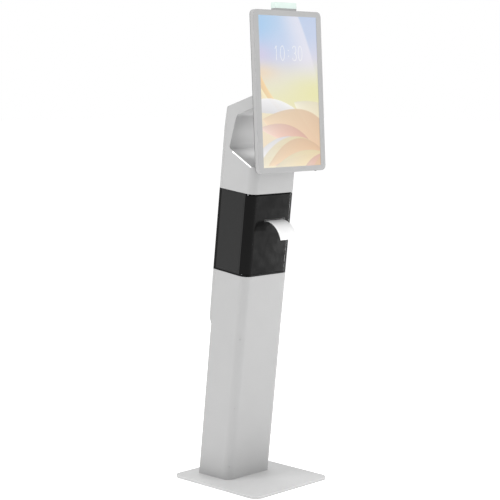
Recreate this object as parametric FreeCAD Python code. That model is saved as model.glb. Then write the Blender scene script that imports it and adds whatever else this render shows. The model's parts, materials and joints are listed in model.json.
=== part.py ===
import FreeCAD, Part
import math
import os
from FreeCAD import Vector

# Free-standing touchscreen kiosk with a receipt printer bay.  Millimetres, +Z up.
# The origin is the centre of the base's underside and the kiosk faces -Y.
#
# Three frames are used.  The base is drawn straight in the kiosk's own frame.  The column and the
# head are drawn upright, with x across, y to the rear from the column's front plane and z up the
# column, and lean() then tips them forward.  The screen is drawn upright about its own front
# centre, with y to the rear, and pose_screen() hangs it on the tilt pivot.

# Stance
LEAN = 6.66                 # degrees that the column leans towards the visitor
COLUMN_FOOT_Y = 5.7         # where the column's front plane would meet the floor

# Base
BASE_WIDTH = 355.5
BASE_DEPTH = 395.0
BASE_THICKNESS = 8.0
BASE_CORNER = 32.0
BASE_EDGE = 1.2             # broken edge round the top of the plate
PAD_HEIGHT = 2.0
PAD_RADIUS = 16.0
PAD_INSET = 26.0
ANCHOR_SPACING_X = 120.0
ANCHOR_SPACING_Y = 70.0
ANCHOR_RADIUS = 5.5
FLANGE_THICKNESS = 6.0
FLANGE_MARGIN = 9.0         # flange to the column's inner faces
FLANGE_BOLT_RADIUS = 4.0

# Column section
COLUMN_WIDTH = 207.0
BODY_DEPTH = 139.0          # front plane to the rear edge of the side walls
REAR_COVER_DEPTH = 14.5
FRONT_CORNER = 28.0
REAR_CORNER = 8.0
WALL = 2.0
SEAM = 0.4                  # gap between fixed covers

# Heights up the column
COVER_START = 519.0
COVER_CHAMFER = 27.0
BAY_BOTTOM = 704.0
BAY_TOP = 975.0
BAY_FLOOR_THICKNESS = 5.5
BAY_ROOF_THICKNESS = 3.0
BAY_ROOF_INSET = 3.0

# Uprights
UPRIGHT_DEPTH = 40.0
UPRIGHT_WIDTH = 25.0
UPRIGHT_WALL = 2.5
UPRIGHT_SIDE_GAP = 1.0      # upright to the side wall
UPRIGHT_REAR_GAP = 5.0      # upright to the rear panel's plane
UPRIGHT_CLEARANCE = 0.5     # upright to the plates that it passes through

# Head, heights above the top of the printer bay
RECESS_LIP = 84.5           # floor of the recess at the front plane
RECESS_FLOOR_RISE = 50.5    # lip to the innermost corner
RECESS_BACK_HEIGHT = 109.0
RECESS_BACK_SLOPE = 21.0    # the back of the recess comes forward by this much as it rises
RECESS_ROOF_RISE = 44.4     # roof, from its back corner to the front plane
SPINE = 34.0                # innermost point of the recess to the rear face
JAW_FRONT_LOW = 6.0         # setback of the upper jaw's lower front corner
JAW_FRONT_HIGH = 13.0
JAW_TOP_FRONT = 324.0
JAW_TOP_BACK = 266.0
JAW_BACK_SETBACK = 10.1     # top back corner ahead of the rear face
HEAD_BEND = 175.0           # where the back of the head leaves the straight rear face
LIP_RADIUS = 3.0
RECESS_LOW_RADIUS = 10.0
RECESS_HIGH_RADIUS = 14.0
CROWN_RADIUS = 6.0
BEND_RADIUS = 40.0
HEAD_FRAME_THICKNESS = 4.0
HEAD_FRAME_INSET = 5.0
TIE_RADIUS = 5.0
HEAD_FRAME_TAIL = 12.0      # head frame's lowest edge above the head's floor
LIGHT_BAND = 6.0            # width of the light strip along the lower jaw
LIGHT_BACK_GAP = 13.0       # light strip's rear end ahead of the innermost corner
LIGHT_FRONT_SETBACK = 12.5

# Screen
SCREEN_TILT = 3.03          # degrees back from upright
SCREEN_STANDOFF = 60.4      # front face ahead of the tilt pivot
SCREEN_RAISE = 26.4         # screen centre above the tilt pivot
PIVOT_SETBACK = 24.0
PIVOT_RISE = 298.0
PANEL_WIDTH = 267.8         # picture area
PANEL_HEIGHT = 476.1
BEZEL_SIDE = 23.0
BEZEL_END = 17.7
BEZEL_DEPTH = 14.0
BEZEL_CORNER = 17.0
BEZEL_WALL = 2.5
BEZEL_FACE = 1.4
BEZEL_ROUND = 1.2
GLASS_THICKNESS = 3.0
GLASS_LAP = 6.0             # glass behind the bezel's face, all round
LCD_THICKNESS = 7.0
LCD_MARGIN_X = 10.0
LCD_MARGIN_Y = 8.0
TRAY_THICKNESS = 1.2
HUMP_WIDTH = 216.0
HUMP_HEIGHT = 372.0
HUMP_DEPTH = 19.0
HUMP_SLOPE = 14.0
HUMP_CORNER = 22.0
SHELL_WALL = 2.0
VESA_SPACING = 100.0
VESA_MARGIN = 4.0           # mounting plate beyond its ears
VESA_HEIGHT = 116.0
VESA_THICKNESS = 3.0
VESA_SCREW_RADIUS = 2.0
EAR_THICKNESS = 4.0
EAR_HALF_HEIGHT = 9.0
WASHER_RADIUS = 10.0
PIVOT_RADIUS = 4.0
RUNNING_FIT = 0.05

# Status light on top of the screen
LIGHT_WIDTH = 98.0
LIGHT_BASE_HEIGHT = 7.0
LIGHT_LENS_HEIGHT = 19.0
LIGHT_DEPTH = 18.0
LIGHT_SETBACK = 7.0
LENS_OVERHANG = 1.0

# Printer bay
DOOR_WALL = 1.8
DOOR_LINE = 1.2             # door edge and side panel edge, each from the corner's end
DOOR_TOP_GAP = 5.0
DOOR_BOTTOM_GAP = 1.5
DOOR_FLANGE = 2.0
DOOR_FLANGE_DEPTH = 10.0
HINGE_PIN_RADIUS = 1.5
HINGE_PIN_SEAT = 1.0        # metal left beyond each pin's end
HINGE_INSET = 4.2           # hinge axis inside the side face
HINGE_AHEAD = 5.3           # hinge axis ahead of the door's rear edge
PANEL_THICKNESS = 2.0
PANEL_PROUD = 0.6
PANEL_BORDER = 5.0
SLOT_CENTRE = 12.0          # the paper slot sits right of the middle
SLOT_SIDE = 6.0             # slot beyond each edge of the paper
SLOT_HEIGHT = 3.2
SLOT_RISE = 183.0           # slot above the bottom of the bay
SLOT_RIM = 2.5
SLOT_LINER = 1.2
CHUTE_DEPTH = 8.0

# Printer
PAPER_WIDTH = 80.0
PAPER_THICKNESS = 0.4
PAPER_CLEARANCE = 0.4
RECEIPT_REACH = 70.0
RECEIPT_DROP = 51.0
RECEIPT_BOW = 14.0
PLATEN_RADIUS = 7.0
PLATEN_SETBACK = 36.0
SHAFT_RADIUS = 3.0
FRAME_PLATE = 2.0
ROLL_RADIUS = 40.0
CORE_RADIUS = 9.0
CORE_WALL = 1.6
ROLL_SETBACK = 64.0
ROLL_RISE = 62.0
CRADLE_GAP = 2.0
GEAR_MODULE = 0.8
PLATEN_TEETH = 20
PINION_TEETH = 10
GEAR_WIDTH = 5.0
GEAR_BACKLASH = 0.15
MOTOR_SIZE = 26.0
MOTOR_LENGTH = 22.0
CUTTER_TRAVEL = 5.0
CUTTER_THICKNESS = 1.5
BUTTON_RADIUS = 4.0

# Door lock
LOCK_RISE = 90.0            # lock above the bottom of the bay
LOCK_BEHIND = 22.0          # lock behind the side panel's front edge
CAM_REACH = 28.0
CAM_HALF_WIDTH = 5.0
CAM_THICKNESS = 2.0
CAM_INSET = 18.5            # cam's inner face inside the side face
CATCH_GAP = 0.5
CATCH_PLATE = 2.0

# Lower column fittings
EQUIPMENT_PLATE = 2.0
SUPPLY_SIZE = (110.0, 38.0, 150.0)
COMPUTER_SIZE = (118.0, 40.0, 130.0)
REAR_PANEL_THICKNESS = 1.5
RAIL_WIDTH = 14.0
RAIL_THICKNESS = 2.0
CONNECTOR_RISE = 62.0       # connectors above the base plate
INLET_FLANGE = (50.0, 23.0)
INLET_BODY = (27.6, 20.2)
INLET_DEPTH = 30.0
SWITCH_FLANGE = (18.0, 24.0)
SWITCH_BODY = (13.0, 19.0)
SWITCH_DEPTH = 16.0
SWITCH_SWING = 8.0
JACK_SIZE = (16.0, 14.0)
JACK_DEPTH = 18.0
SCREW_RADIUS = 3.0
SCREW_HEAD = 1.6

X_AXIS = Vector(1, 0, 0)
ORIGIN = Vector(0, 0, 0)
FAR = 1000.0                # longer than any piece, for cutting tools

# Worked out from the sizes above
BASE_TOP = PAD_HEIGHT + BASE_THICKNESS
FULL_DEPTH = BODY_DEPTH + REAR_COVER_DEPTH
HALF = COLUMN_WIDTH / 2
UPRIGHT_REAR = BODY_DEPTH - WALL - UPRIGHT_REAR_GAP
UPRIGHT_FRONT = UPRIGHT_REAR - UPRIGHT_DEPTH
UPRIGHT_OUTER = HALF - WALL - UPRIGHT_SIDE_GAP
UPRIGHT_INNER = UPRIGHT_OUTER - UPRIGHT_WIDTH
RECESS_DEPTH = FULL_DEPTH - SPINE
UPRIGHT_TOP = BAY_TOP + RECESS_LIP + RECESS_FLOOR_RISE * UPRIGHT_FRONT / RECESS_DEPTH - 12.0
PIVOT_Z = BAY_TOP + PIVOT_RISE
BEZEL_WIDTH = PANEL_WIDTH + 2 * BEZEL_SIDE
BEZEL_HEIGHT = PANEL_HEIGHT + 2 * BEZEL_END
GLASS_BACK = BEZEL_FACE + GLASS_THICKNESS
LCD_BACK = GLASS_BACK + LCD_THICKNESS
TRAY_BACK = LCD_BACK + TRAY_THICKNESS
SHELL_BACK = BEZEL_DEPTH + HUMP_DEPTH
VESA_BACK = SHELL_BACK + VESA_THICKNESS
EAR_OUTER = UPRIGHT_INNER - HEAD_FRAME_THICKNESS - 5.5
DOOR_EDGE = FRONT_CORNER - DOOR_LINE
PANEL_EDGE = FRONT_CORNER + DOOR_LINE
DOOR_BOTTOM = BAY_BOTTOM + BAY_FLOOR_THICKNESS + DOOR_BOTTOM_GAP
DOOR_TOP = BAY_TOP - DOOR_TOP_GAP
SLOT_Z = BAY_BOTTOM + SLOT_RISE
HINGE_X = -HALF + HINGE_INSET
HINGE_Y = DOOR_EDGE - HINGE_AHEAD
PLATEN_Z = SLOT_Z - PLATEN_RADIUS - PAPER_THICKNESS - PAPER_CLEARANCE
ROLL_Z = BAY_BOTTOM + ROLL_RISE
SLOT_WIDTH = PAPER_WIDTH + 2 * SLOT_SIDE
PRINTER_HALF = PAPER_WIDTH / 2 + 3.0


# ---------------------------------------------------------------- drawing helpers

def box(x0, x1, y0, y1, z0, z1):
    """A block between two opposite corners."""
    return Part.makeBox(x1 - x0, y1 - y0, z1 - z0, Vector(x0, y0, z0))


def centred_box(size_x, size_z, y0, y1, x=0.0, z=0.0):
    """A block of size_x by size_z, centred on x and z, from y0 to y1."""
    return box(x - size_x / 2, x + size_x / 2, y0, y1, z - size_z / 2, z + size_z / 2)


def rod(radius, start, end):
    """A round bar between two points."""
    line = end - start
    return Part.makeCylinder(radius, line.Length, start, line)


def rod_x(radius, x0, x1, y, z):
    """A round bar along x."""
    return rod(radius, Vector(x0, y, z), Vector(x1, y, z))


def rod_y(radius, y0, y1, x, z):
    """A round bar along y."""
    return rod(radius, Vector(x, y0, z), Vector(x, y1, z))


def rod_z(radius, z0, z1, x, y):
    """A round bar along z."""
    return rod(radius, Vector(x, y, z0), Vector(x, y, z1))


def fuse(pieces):
    """One solid made of touching pieces."""
    joined = pieces[0]
    if len(pieces) > 1:
        joined = pieces[0].multiFuse(pieces[1:])
    return joined.removeSplitter()


def cut(body, tools):
    """The body without the tools."""
    for tool in tools:
        body = body.cut(tool)
    return body


def group(pieces):
    """Separate solids kept as one sub-part."""
    return Part.makeCompound(pieces)


def mirrored(shape):
    """The shape reflected to the other side of the kiosk."""
    return shape.mirror(ORIGIN, X_AXIS)


def upright_edges(shape, test):
    """Edges along z whose middle passes the test."""
    found = []
    for edge in shape.Edges:
        if len(edge.Vertexes) < 2:
            continue
        line = edge.Vertexes[1].Point - edge.Vertexes[0].Point
        if abs(line.z) > 0.999 * line.Length and test(edge.CenterOfMass):
            found.append(edge)
    return found


def plan_block(half_width, y0, y1, z0, z1, front_radius, rear_radius):
    """A block with its four upright edges rounded."""
    block = box(-half_width, half_width, y0, y1, z0, z1)
    middle = (y0 + y1) / 2
    if front_radius > 0:
        block = block.makeFillet(front_radius, upright_edges(block, lambda p: p.y < middle))
    if rear_radius > 0:
        rear = [e for e in upright_edges(block, lambda p: p.y > y1 - 0.001)
                if abs(abs(e.CenterOfMass.x) - half_width) < 0.001]
        block = block.makeFillet(rear_radius, rear)
    return block


def rounded_panel(width, height, y0, y1, radius, x=0.0, z=0.0):
    """A flat panel that faces y, with rounded corners."""
    block = centred_box(width, height, y0, y1, x, z)
    edges = []
    for edge in block.Edges:
        line = edge.Vertexes[1].Point - edge.Vertexes[0].Point
        if abs(line.y) > 0.999 * line.Length:
            edges.append(edge)
    return block.makeFillet(radius, edges)


def inset(corners, distance):
    """Corners of a counter-clockwise outline in the y-z plane, each side moved inwards."""
    moved = []
    for index, corner in enumerate(corners):
        before = (corner - corners[index - 1]).normalize()
        after = (corners[(index + 1) % len(corners)] - corner).normalize()
        normal_before = Vector(0, -before.z, before.y)
        normal_after = Vector(0, -after.z, after.y)
        reach = distance / (1 + normal_before.dot(normal_after))
        moved.append(corner + (normal_before + normal_after) * reach)
    return moved


def rounded_outline(corners, radii):
    """A closed wire through the corners, with an arc of the given radius at each."""
    starts, ends, middles = [], [], []
    for index, (corner, radius) in enumerate(zip(corners, radii)):
        back = (corners[index - 1] - corner).normalize()
        ahead = (corners[(index + 1) % len(corners)] - corner).normalize()
        half_angle = back.getAngle(ahead) / 2
        bisector = (back + ahead).normalize()
        starts.append(corner + back * (radius / math.tan(half_angle)))
        ends.append(corner + ahead * (radius / math.tan(half_angle)))
        middles.append(corner + bisector * (radius / math.sin(half_angle) - radius))
    edges = []
    for index, radius in enumerate(radii):
        if radius > 0:
            edges.append(Part.Arc(starts[index], middles[index], ends[index]).toShape())
        following = starts[(index + 1) % len(corners)]
        edges.append(Part.LineSegment(ends[index], following).toShape())
    return Part.Wire(edges)


def side_prism(corners, radii, x0, x1):
    """A prism along x with a rounded outline in the y-z plane."""
    face = Part.Face(rounded_outline(corners, radii))
    prism = face.extrude(Vector(x1 - x0, 0, 0))
    prism.translate(Vector(x0, 0, 0))
    return prism


def lean(shape):
    """From the upright column's frame to the kiosk's frame."""
    placed = shape.copy()
    placed.rotate(ORIGIN, X_AXIS, LEAN)
    placed.translate(Vector(0, COLUMN_FOOT_Y, 0))
    return placed


def unlean(shape):
    """From the kiosk's frame to the upright column's frame."""
    placed = shape.copy()
    placed.translate(Vector(0, -COLUMN_FOOT_Y, 0))
    placed.rotate(ORIGIN, X_AXIS, -LEAN)
    return placed


def pivot_point():
    """The middle of the tilt pivot in the kiosk's frame."""
    angle = math.radians(LEAN)
    y = COLUMN_FOOT_Y + PIVOT_SETBACK * math.cos(angle) - PIVOT_Z * math.sin(angle)
    z = PIVOT_SETBACK * math.sin(angle) + PIVOT_Z * math.cos(angle)
    return Vector(0, y, z)


def pose_screen(shape):
    """From the screen's own frame to the kiosk's frame."""
    placed = shape.copy()
    placed.translate(Vector(0, -SCREEN_STANDOFF, SCREEN_RAISE))
    placed.rotate(ORIGIN, X_AXIS, -SCREEN_TILT)
    placed.translate(pivot_point())
    return placed


def above_height(shape, height):
    """The upright shape without what lies under a level plane of the kiosk's frame."""
    return shape.cut(unlean(box(-FAR, FAR, -FAR, FAR, -FAR, height)))


def save(name, shape):
    """Write one sub-part."""
    shape.exportStep(os.path.join("parts", name + ".step"))


# ---------------------------------------------------------------- base

def column_y(y, z):
    """The kiosk's y of a point of the upright column, at the height of the base's top."""
    angle = math.radians(LEAN)
    return COLUMN_FOOT_Y + y / math.cos(angle) - z * math.tan(angle)


def anchor_places():
    """The four floor anchor holes, under the column."""
    middle = column_y(BODY_DEPTH / 2, BASE_TOP)
    return [(sx * ANCHOR_SPACING_X / 2, middle + sy * ANCHOR_SPACING_Y / 2)
            for sx in (-1, 1) for sy in (-1, 1)]


def flange_bolt_places():
    """The four bolts that hold the column's flange, between the anchor holes."""
    middle = column_y(BODY_DEPTH / 2, BASE_TOP)
    reach_x = HALF - WALL - FLANGE_MARGIN - 2.5 * FLANGE_BOLT_RADIUS
    return [(sx * reach_x / 3, middle + sy * ANCHOR_SPACING_Y * 0.55)
            for sx in (-1, 1) for sy in (-1, 1)]


def base_plate():
    """Steel floor plate with rounded corners and anchor holes."""
    plate = plan_block(BASE_WIDTH / 2, -BASE_DEPTH / 2, BASE_DEPTH / 2, PAD_HEIGHT, BASE_TOP,
                       BASE_CORNER, BASE_CORNER)
    rim = [edge for edge in plate.Edges
           if all(abs(v.Point.z - BASE_TOP) < 0.001 for v in edge.Vertexes)]
    plate = plate.makeFillet(BASE_EDGE, rim)
    holes = [rod_z(ANCHOR_RADIUS, 0, BASE_TOP + 1, x, y) for x, y in anchor_places()]
    holes += [rod_z(FLANGE_BOLT_RADIUS, 0, BASE_TOP + 1, x, y) for x, y in flange_bolt_places()]
    return cut(plate, holes)


def base_pads():
    """Six round rubber pads under the plate."""
    pads = []
    for x in (-BASE_WIDTH / 2 + PAD_INSET, BASE_WIDTH / 2 - PAD_INSET):
        for y in (-BASE_DEPTH / 2 + PAD_INSET, 0, BASE_DEPTH / 2 - PAD_INSET):
            pads.append(rod_z(PAD_RADIUS, 0, PAD_HEIGHT, x, y))
    return group(pads)


def foot_flange():
    """Plate at the foot of the uprights, bolted down inside the column."""
    half = HALF - WALL - FLANGE_MARGIN
    front = column_y(WALL, BASE_TOP) + FLANGE_MARGIN
    rear = column_y(UPRIGHT_REAR, BASE_TOP)
    plate = plan_block(half, front, rear, BASE_TOP, BASE_TOP + FLANGE_THICKNESS,
                       FRONT_CORNER - WALL - FLANGE_MARGIN, 0)
    top = BASE_TOP + FLANGE_THICKNESS + 1
    holes = [rod_z(ANCHOR_RADIUS, BASE_TOP - 1, top, x, y) for x, y in anchor_places()]
    holes += [rod_z(FLANGE_BOLT_RADIUS, BASE_TOP - 1, top, x, y) for x, y in flange_bolt_places()]
    return cut(plate, holes)


def foot_bolts():
    """Bolts from under the flange's nuts down through the base plate."""
    bolts = []
    top = BASE_TOP + FLANGE_THICKNESS
    for x, y in flange_bolt_places():
        shank = rod_z(FLANGE_BOLT_RADIUS, PAD_HEIGHT, top, x, y)
        head = rod_z(1.7 * FLANGE_BOLT_RADIUS, top, top + FLANGE_BOLT_RADIUS, x, y)
        bolts.append(fuse([shank, head]))
    return group(bolts)


# ---------------------------------------------------------------- column

def upright():
    """Right-hand channel, open to the outside, from the flange into the head."""
    bottom = -FLANGE_THICKNESS
    outer = box(UPRIGHT_INNER, UPRIGHT_OUTER, UPRIGHT_FRONT, UPRIGHT_REAR, bottom, UPRIGHT_TOP)
    hollow = box(UPRIGHT_INNER + UPRIGHT_WALL, UPRIGHT_OUTER + 1, UPRIGHT_FRONT + UPRIGHT_WALL,
                 UPRIGHT_REAR - UPRIGHT_WALL, bottom - 1, UPRIGHT_TOP + 1)
    return above_height(outer.cut(hollow), BASE_TOP + FLANGE_THICKNESS)


def spine_frame():
    """Both uprights welded to the flange at their foot."""
    side = lean(upright())
    return fuse([foot_flange(), side, mirrored(side)])


def upright_passages(z0, z1):
    """Holes through a plate for both uprights."""
    gap = UPRIGHT_CLEARANCE
    passage = box(UPRIGHT_INNER - gap, UPRIGHT_OUTER + gap, UPRIGHT_FRONT - gap, UPRIGHT_REAR + gap,
                  z0 - 1, z1 + 1)
    return [passage, mirrored(passage)]


def column_shell():
    """Folded sheet round the front and sides of the lower column."""
    top = BAY_BOTTOM - SEAM
    bottom = -FAR / 10
    outer = plan_block(HALF, 0, 2 * BODY_DEPTH, bottom, top, FRONT_CORNER, 0)
    inner = plan_block(HALF - WALL, WALL, 2 * BODY_DEPTH, bottom - 1, top + 1, FRONT_CORNER - WALL, 0)
    behind = box(-FAR, FAR, BODY_DEPTH, FAR, bottom - 1, FAR)
    sheet = cut(outer, [inner, behind])
    rail = panel_rail(bottom, top)
    frame = fuse([sheet, rail, mirrored(rail)])
    return above_height(cut(frame, screw_holes(panel_screw_places())), BASE_TOP)


def connector_z():
    """Height of the connectors up the column."""
    return BASE_TOP + CONNECTOR_RISE


def connector_spots():
    """Where the inlet, the switch and the network jack sit across the rear panel."""
    return {"inlet": -24.0, "switch": 22.0, "jack": 52.0}


def vent_slots(half_width, y0, y1, z0, count, pitch, height):
    """A ladder of horizontal slots with rounded ends."""
    slots = []
    for index in range(count):
        z = z0 + index * pitch
        bar = box(-half_width, half_width, y0, y1, z - height / 2, z + height / 2)
        ends = [rod_y(height / 2, y0, y1, side * half_width, z) for side in (-1, 1)]
        slots.append(fuse([bar] + ends))
    return slots


def column_rear_panel():
    """Flat panel that closes the back of the column, with vents and connector cut-outs."""
    y0 = BODY_DEPTH - WALL
    half = HALF - WALL - SEAM
    panel = box(-half, half, y0 - REAR_PANEL_THICKNESS, y0, -FAR / 10, BAY_BOTTOM - SEAM)
    spots = connector_spots()
    tools = []
    for key, size in (("inlet", INLET_BODY), ("switch", SWITCH_BODY), ("jack", JACK_SIZE)):
        tools.append(centred_box(size[0] + 0.4, size[1] + 0.4, y0 - 5, y0 + 5, spots[key], connector_z()))
    tools += vent_slots(half * 0.55, y0 - 5, y0 + 5, COVER_START - 110.0, 8, 11.0, 4.0)
    tools += vent_slots(half * 0.55, y0 - 5, y0 + 5, BASE_TOP + 120.0, 8, 11.0, 4.0)
    tools += screw_holes(panel_screw_places() + cover_screw_places())
    return above_height(cut(panel, tools), BASE_TOP)


def panel_rail(z0, z1):
    """Rail welded inside the right side wall, which the rear panel is screwed to."""
    y1 = BODY_DEPTH - WALL - REAR_PANEL_THICKNESS
    return box(HALF - WALL - RAIL_WIDTH, HALF - WALL, y1 - RAIL_THICKNESS, y1, z0, z1)


def rear_tray(z0, z1, chamfer):
    """Shallow cover behind the column, open to the front, with an optional sloped lower end."""
    outer = plan_block(HALF, BODY_DEPTH - 20.0, FULL_DEPTH, z0, z1, 0, REAR_CORNER)
    inner = plan_block(HALF - WALL, BODY_DEPTH - 21.0, FULL_DEPTH - WALL, z0 + WALL, z1 - WALL,
                       0, REAR_CORNER - WALL)
    if chamfer > 0:
        outer = outer.cut(chamfer_tool(z0, chamfer, 0))
        inner = inner.cut(chamfer_tool(z0, chamfer, WALL))
    ahead = box(-FAR, FAR, -FAR, BODY_DEPTH + SEAM, -FAR, FAR * 2)
    return cut(outer, [inner, ahead])


def chamfer_tool(z0, chamfer, wall):
    """Wedge that slopes the lower end of a rear cover."""
    slope = REAR_COVER_DEPTH / chamfer
    low = BODY_DEPTH - wall * 1.2
    points = [Vector(0, low - 20.0 * slope, z0 - 20.0), Vector(0, FAR, z0 - 20.0),
              Vector(0, FAR, z0 + (FAR - low) / slope), Vector(0, low - 20.0 * slope, z0 - 20.0)]
    wedge = Part.Face(Part.makePolygon(points)).extrude(Vector(2 * FAR, 0, 0))
    wedge.translate(Vector(-FAR, 0, 0))
    return wedge


def lower_rear_cover():
    """Chamfered cover over the upper part of the column's back."""
    tray = rear_tray(COVER_START, BAY_BOTTOM - SEAM, COVER_CHAMFER)
    holes = [rod_y(SCREW_RADIUS / 2 + 0.3, 0, FAR, x, z) for x, z in cover_screw_places()]
    return cut(tray, holes)


def cover_screw_places():
    """Screws through the lower rear cover."""
    rows = (COVER_START + COVER_CHAMFER + 18.0, BAY_BOTTOM - 20.0)
    return [(side * HALF * 0.72, z) for side in (-1, 1) for z in rows]


def panel_screw_places():
    """Screws along both edges of the rear panel into its rails."""
    rows = (BASE_TOP + 45.0, COVER_START * 0.5, COVER_START - 25.0)
    return [(side * (HALF - WALL - RAIL_WIDTH / 2), z) for side in (-1, 1) for z in rows]


def screw_holes(places):
    """Tapped holes for screws along y."""
    return [rod_y(SCREW_RADIUS / 2, 0, FAR, x, z) for x, z in places]


def screw(x, z, seat, length):
    """Button-head screw whose head sits on a rear-facing seat."""
    shank = rod_y(SCREW_RADIUS / 2, seat - length, seat, x, z)
    head = rod_y(SCREW_RADIUS, seat, seat + SCREW_HEAD, x, z)
    return fuse([shank, head])


def cover_screws():
    """All the screws on the back of the column."""
    panel_seat = BODY_DEPTH - WALL
    reach = REAR_COVER_DEPTH + WALL + REAR_PANEL_THICKNESS
    screws = [screw(x, z, FULL_DEPTH, reach) for x, z in cover_screw_places()]
    screws += [screw(x, z, panel_seat, REAR_PANEL_THICKNESS + RAIL_THICKNESS)
               for x, z in panel_screw_places()]
    return group(screws)


def equipment_plate():
    """Plate across the uprights that carries the power supply and the computer."""
    return box(-UPRIGHT_OUTER, UPRIGHT_OUTER, UPRIGHT_FRONT - EQUIPMENT_PLATE, UPRIGHT_FRONT,
               BASE_TOP + 100.0, COVER_START + 60.0)


def finned_case(size, z0, fins):
    """A cased unit on the front of the equipment plate, with cooling fins."""
    width, depth, height = size
    rear = UPRIGHT_FRONT - EQUIPMENT_PLATE
    case = box(-width / 2, width / 2, rear - depth, rear, z0, z0 + height)
    case = case.makeFillet(2.0, [e for e in case.Edges if e.CenterOfMass.y < rear - depth + 1])
    grooves = []
    pitch = width / (fins + 1)
    for index in range(fins):
        x = -width / 2 + (index + 1) * pitch
        grooves.append(box(x - pitch / 5, x + pitch / 5, rear - depth - 1, rear - depth + 5,
                           z0 + 10, z0 + height - 10))
    return cut(case, grooves)


def power_inlet():
    """Three-pin appliance inlet with its socket facing the rear."""
    y0 = BODY_DEPTH - WALL
    x, z = connector_spots()["inlet"], connector_z()
    flange = rounded_panel(INLET_FLANGE[0], INLET_FLANGE[1], y0, y0 + 1.6, 3.0, x, z)
    body = centred_box(INLET_BODY[0], INLET_BODY[1], y0 - INLET_DEPTH, y0 + 1.6, x, z)
    shell = fuse([flange, body])
    socket = centred_box(INLET_BODY[0] - 3.6, INLET_BODY[1] - 4.0, y0 - INLET_DEPTH + 13, y0 + 5, x, z)
    shell = shell.cut(socket)
    pins = [centred_box(2.0, 4.0, y0 - INLET_DEPTH + 8, y0 - 3, x + offset, z + rise)
            for offset, rise in ((-7.0, -1.5), (0.0, 2.5), (7.0, -1.5))]
    return fuse([shell] + pins + [switch_frame()])


def switch_frame():
    """Frame of the power switch, moulded in one with the inlet."""
    y0 = BODY_DEPTH - WALL
    x, z = connector_spots()["switch"], connector_z()
    reach = x - connector_spots()["inlet"] + SWITCH_FLANGE[0] / 2
    flange = rounded_panel(reach, SWITCH_FLANGE[1], y0, y0 + 1.6, 1.5, x + (SWITCH_FLANGE[0] - reach) / 2, z)
    socket = connector_spots()["inlet"]
    flange = flange.cut(centred_box(INLET_BODY[0], INLET_BODY[1], y0 - 5, y0 + 5, socket, z))
    body = centred_box(SWITCH_BODY[0], SWITCH_BODY[1], y0 - SWITCH_DEPTH, y0 + 1.6, x, z)
    cavity = centred_box(SWITCH_BODY[0] - 2.4, SWITCH_BODY[1] - 1.8, y0 - SWITCH_DEPTH + 2, y0 + 5, x, z)
    shaft = rod_x(1.0, x - SWITCH_BODY[0] / 2, x + SWITCH_BODY[0] / 2, y0 - 3.0, z)
    return fuse([fuse([flange, body]).cut(cavity), shaft])


def power_switch():
    """Rocker that swings on the switch frame's shaft."""
    y0 = BODY_DEPTH - WALL
    x, z = connector_spots()["switch"], connector_z()
    half_height = SWITCH_BODY[1] / 2 - 1.8
    half_width = SWITCH_BODY[0] / 2 - 1.7
    proud = y0 + 2.6
    dip = half_height * math.tan(math.radians(SWITCH_SWING))
    corners = [Vector(0, y0 - 7.0, z - 4.0), Vector(0, y0 - 1.5, z - half_height),
               Vector(0, proud, z - half_height), Vector(0, proud - dip, z),
               Vector(0, proud, z + half_height), Vector(0, y0 - 1.5, z + half_height),
               Vector(0, y0 - 7.0, z + 4.0)]
    rocker = side_prism(corners, [0, 0, 0.6, 0, 0.6, 0, 0], x - half_width, x + half_width)
    return rocker.cut(rod_x(1.0 + RUNNING_FIT, x - 20, x + 20, y0 - 3.0, z))


def network_jack():
    """Panel-mounted network socket."""
    y0 = BODY_DEPTH - WALL
    x, z = connector_spots()["jack"], connector_z()
    flange = rounded_panel(JACK_SIZE[0] + 6, JACK_SIZE[1] + 6, y0, y0 + 1.6, 1.5, x, z)
    body = centred_box(JACK_SIZE[0], JACK_SIZE[1], y0 - JACK_DEPTH, y0 + 1.6, x, z)
    socket = centred_box(11.8, 8.0, y0 - JACK_DEPTH + 4, y0 + 5, x, z)
    key = centred_box(5.0, 3.0, y0 - JACK_DEPTH + 4, y0 + 5, x, z + 5.0)
    return cut(fuse([flange, body]), [socket, key])


# ---------------------------------------------------------------- printer bay

def bay_floor():
    """Plate under the printer, with the section of the column."""
    top = BAY_BOTTOM + BAY_FLOOR_THICKNESS
    plate = plan_block(HALF - SEAM, SEAM, BODY_DEPTH, BAY_BOTTOM, top, FRONT_CORNER - SEAM, 0)
    hinge = rod_z(HINGE_PIN_RADIUS, BAY_BOTTOM + HINGE_PIN_SEAT, FAR, HINGE_X, HINGE_Y)
    return cut(plate, upright_passages(BAY_BOTTOM, top) + [hinge])


def bay_roof():
    """Plate over the printer, set back so that it reads as a shadow line."""
    z0 = BAY_TOP - BAY_ROOF_THICKNESS
    plate = plan_block(HALF - BAY_ROOF_INSET, BAY_ROOF_INSET, BODY_DEPTH, z0, BAY_TOP,
                       FRONT_CORNER - BAY_ROOF_INSET, 0)
    hinge = rod_z(HINGE_PIN_RADIUS, 0, BAY_TOP - HINGE_PIN_SEAT, HINGE_X, HINGE_Y)
    return cut(plate, upright_passages(z0, BAY_TOP) + [hinge])


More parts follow.
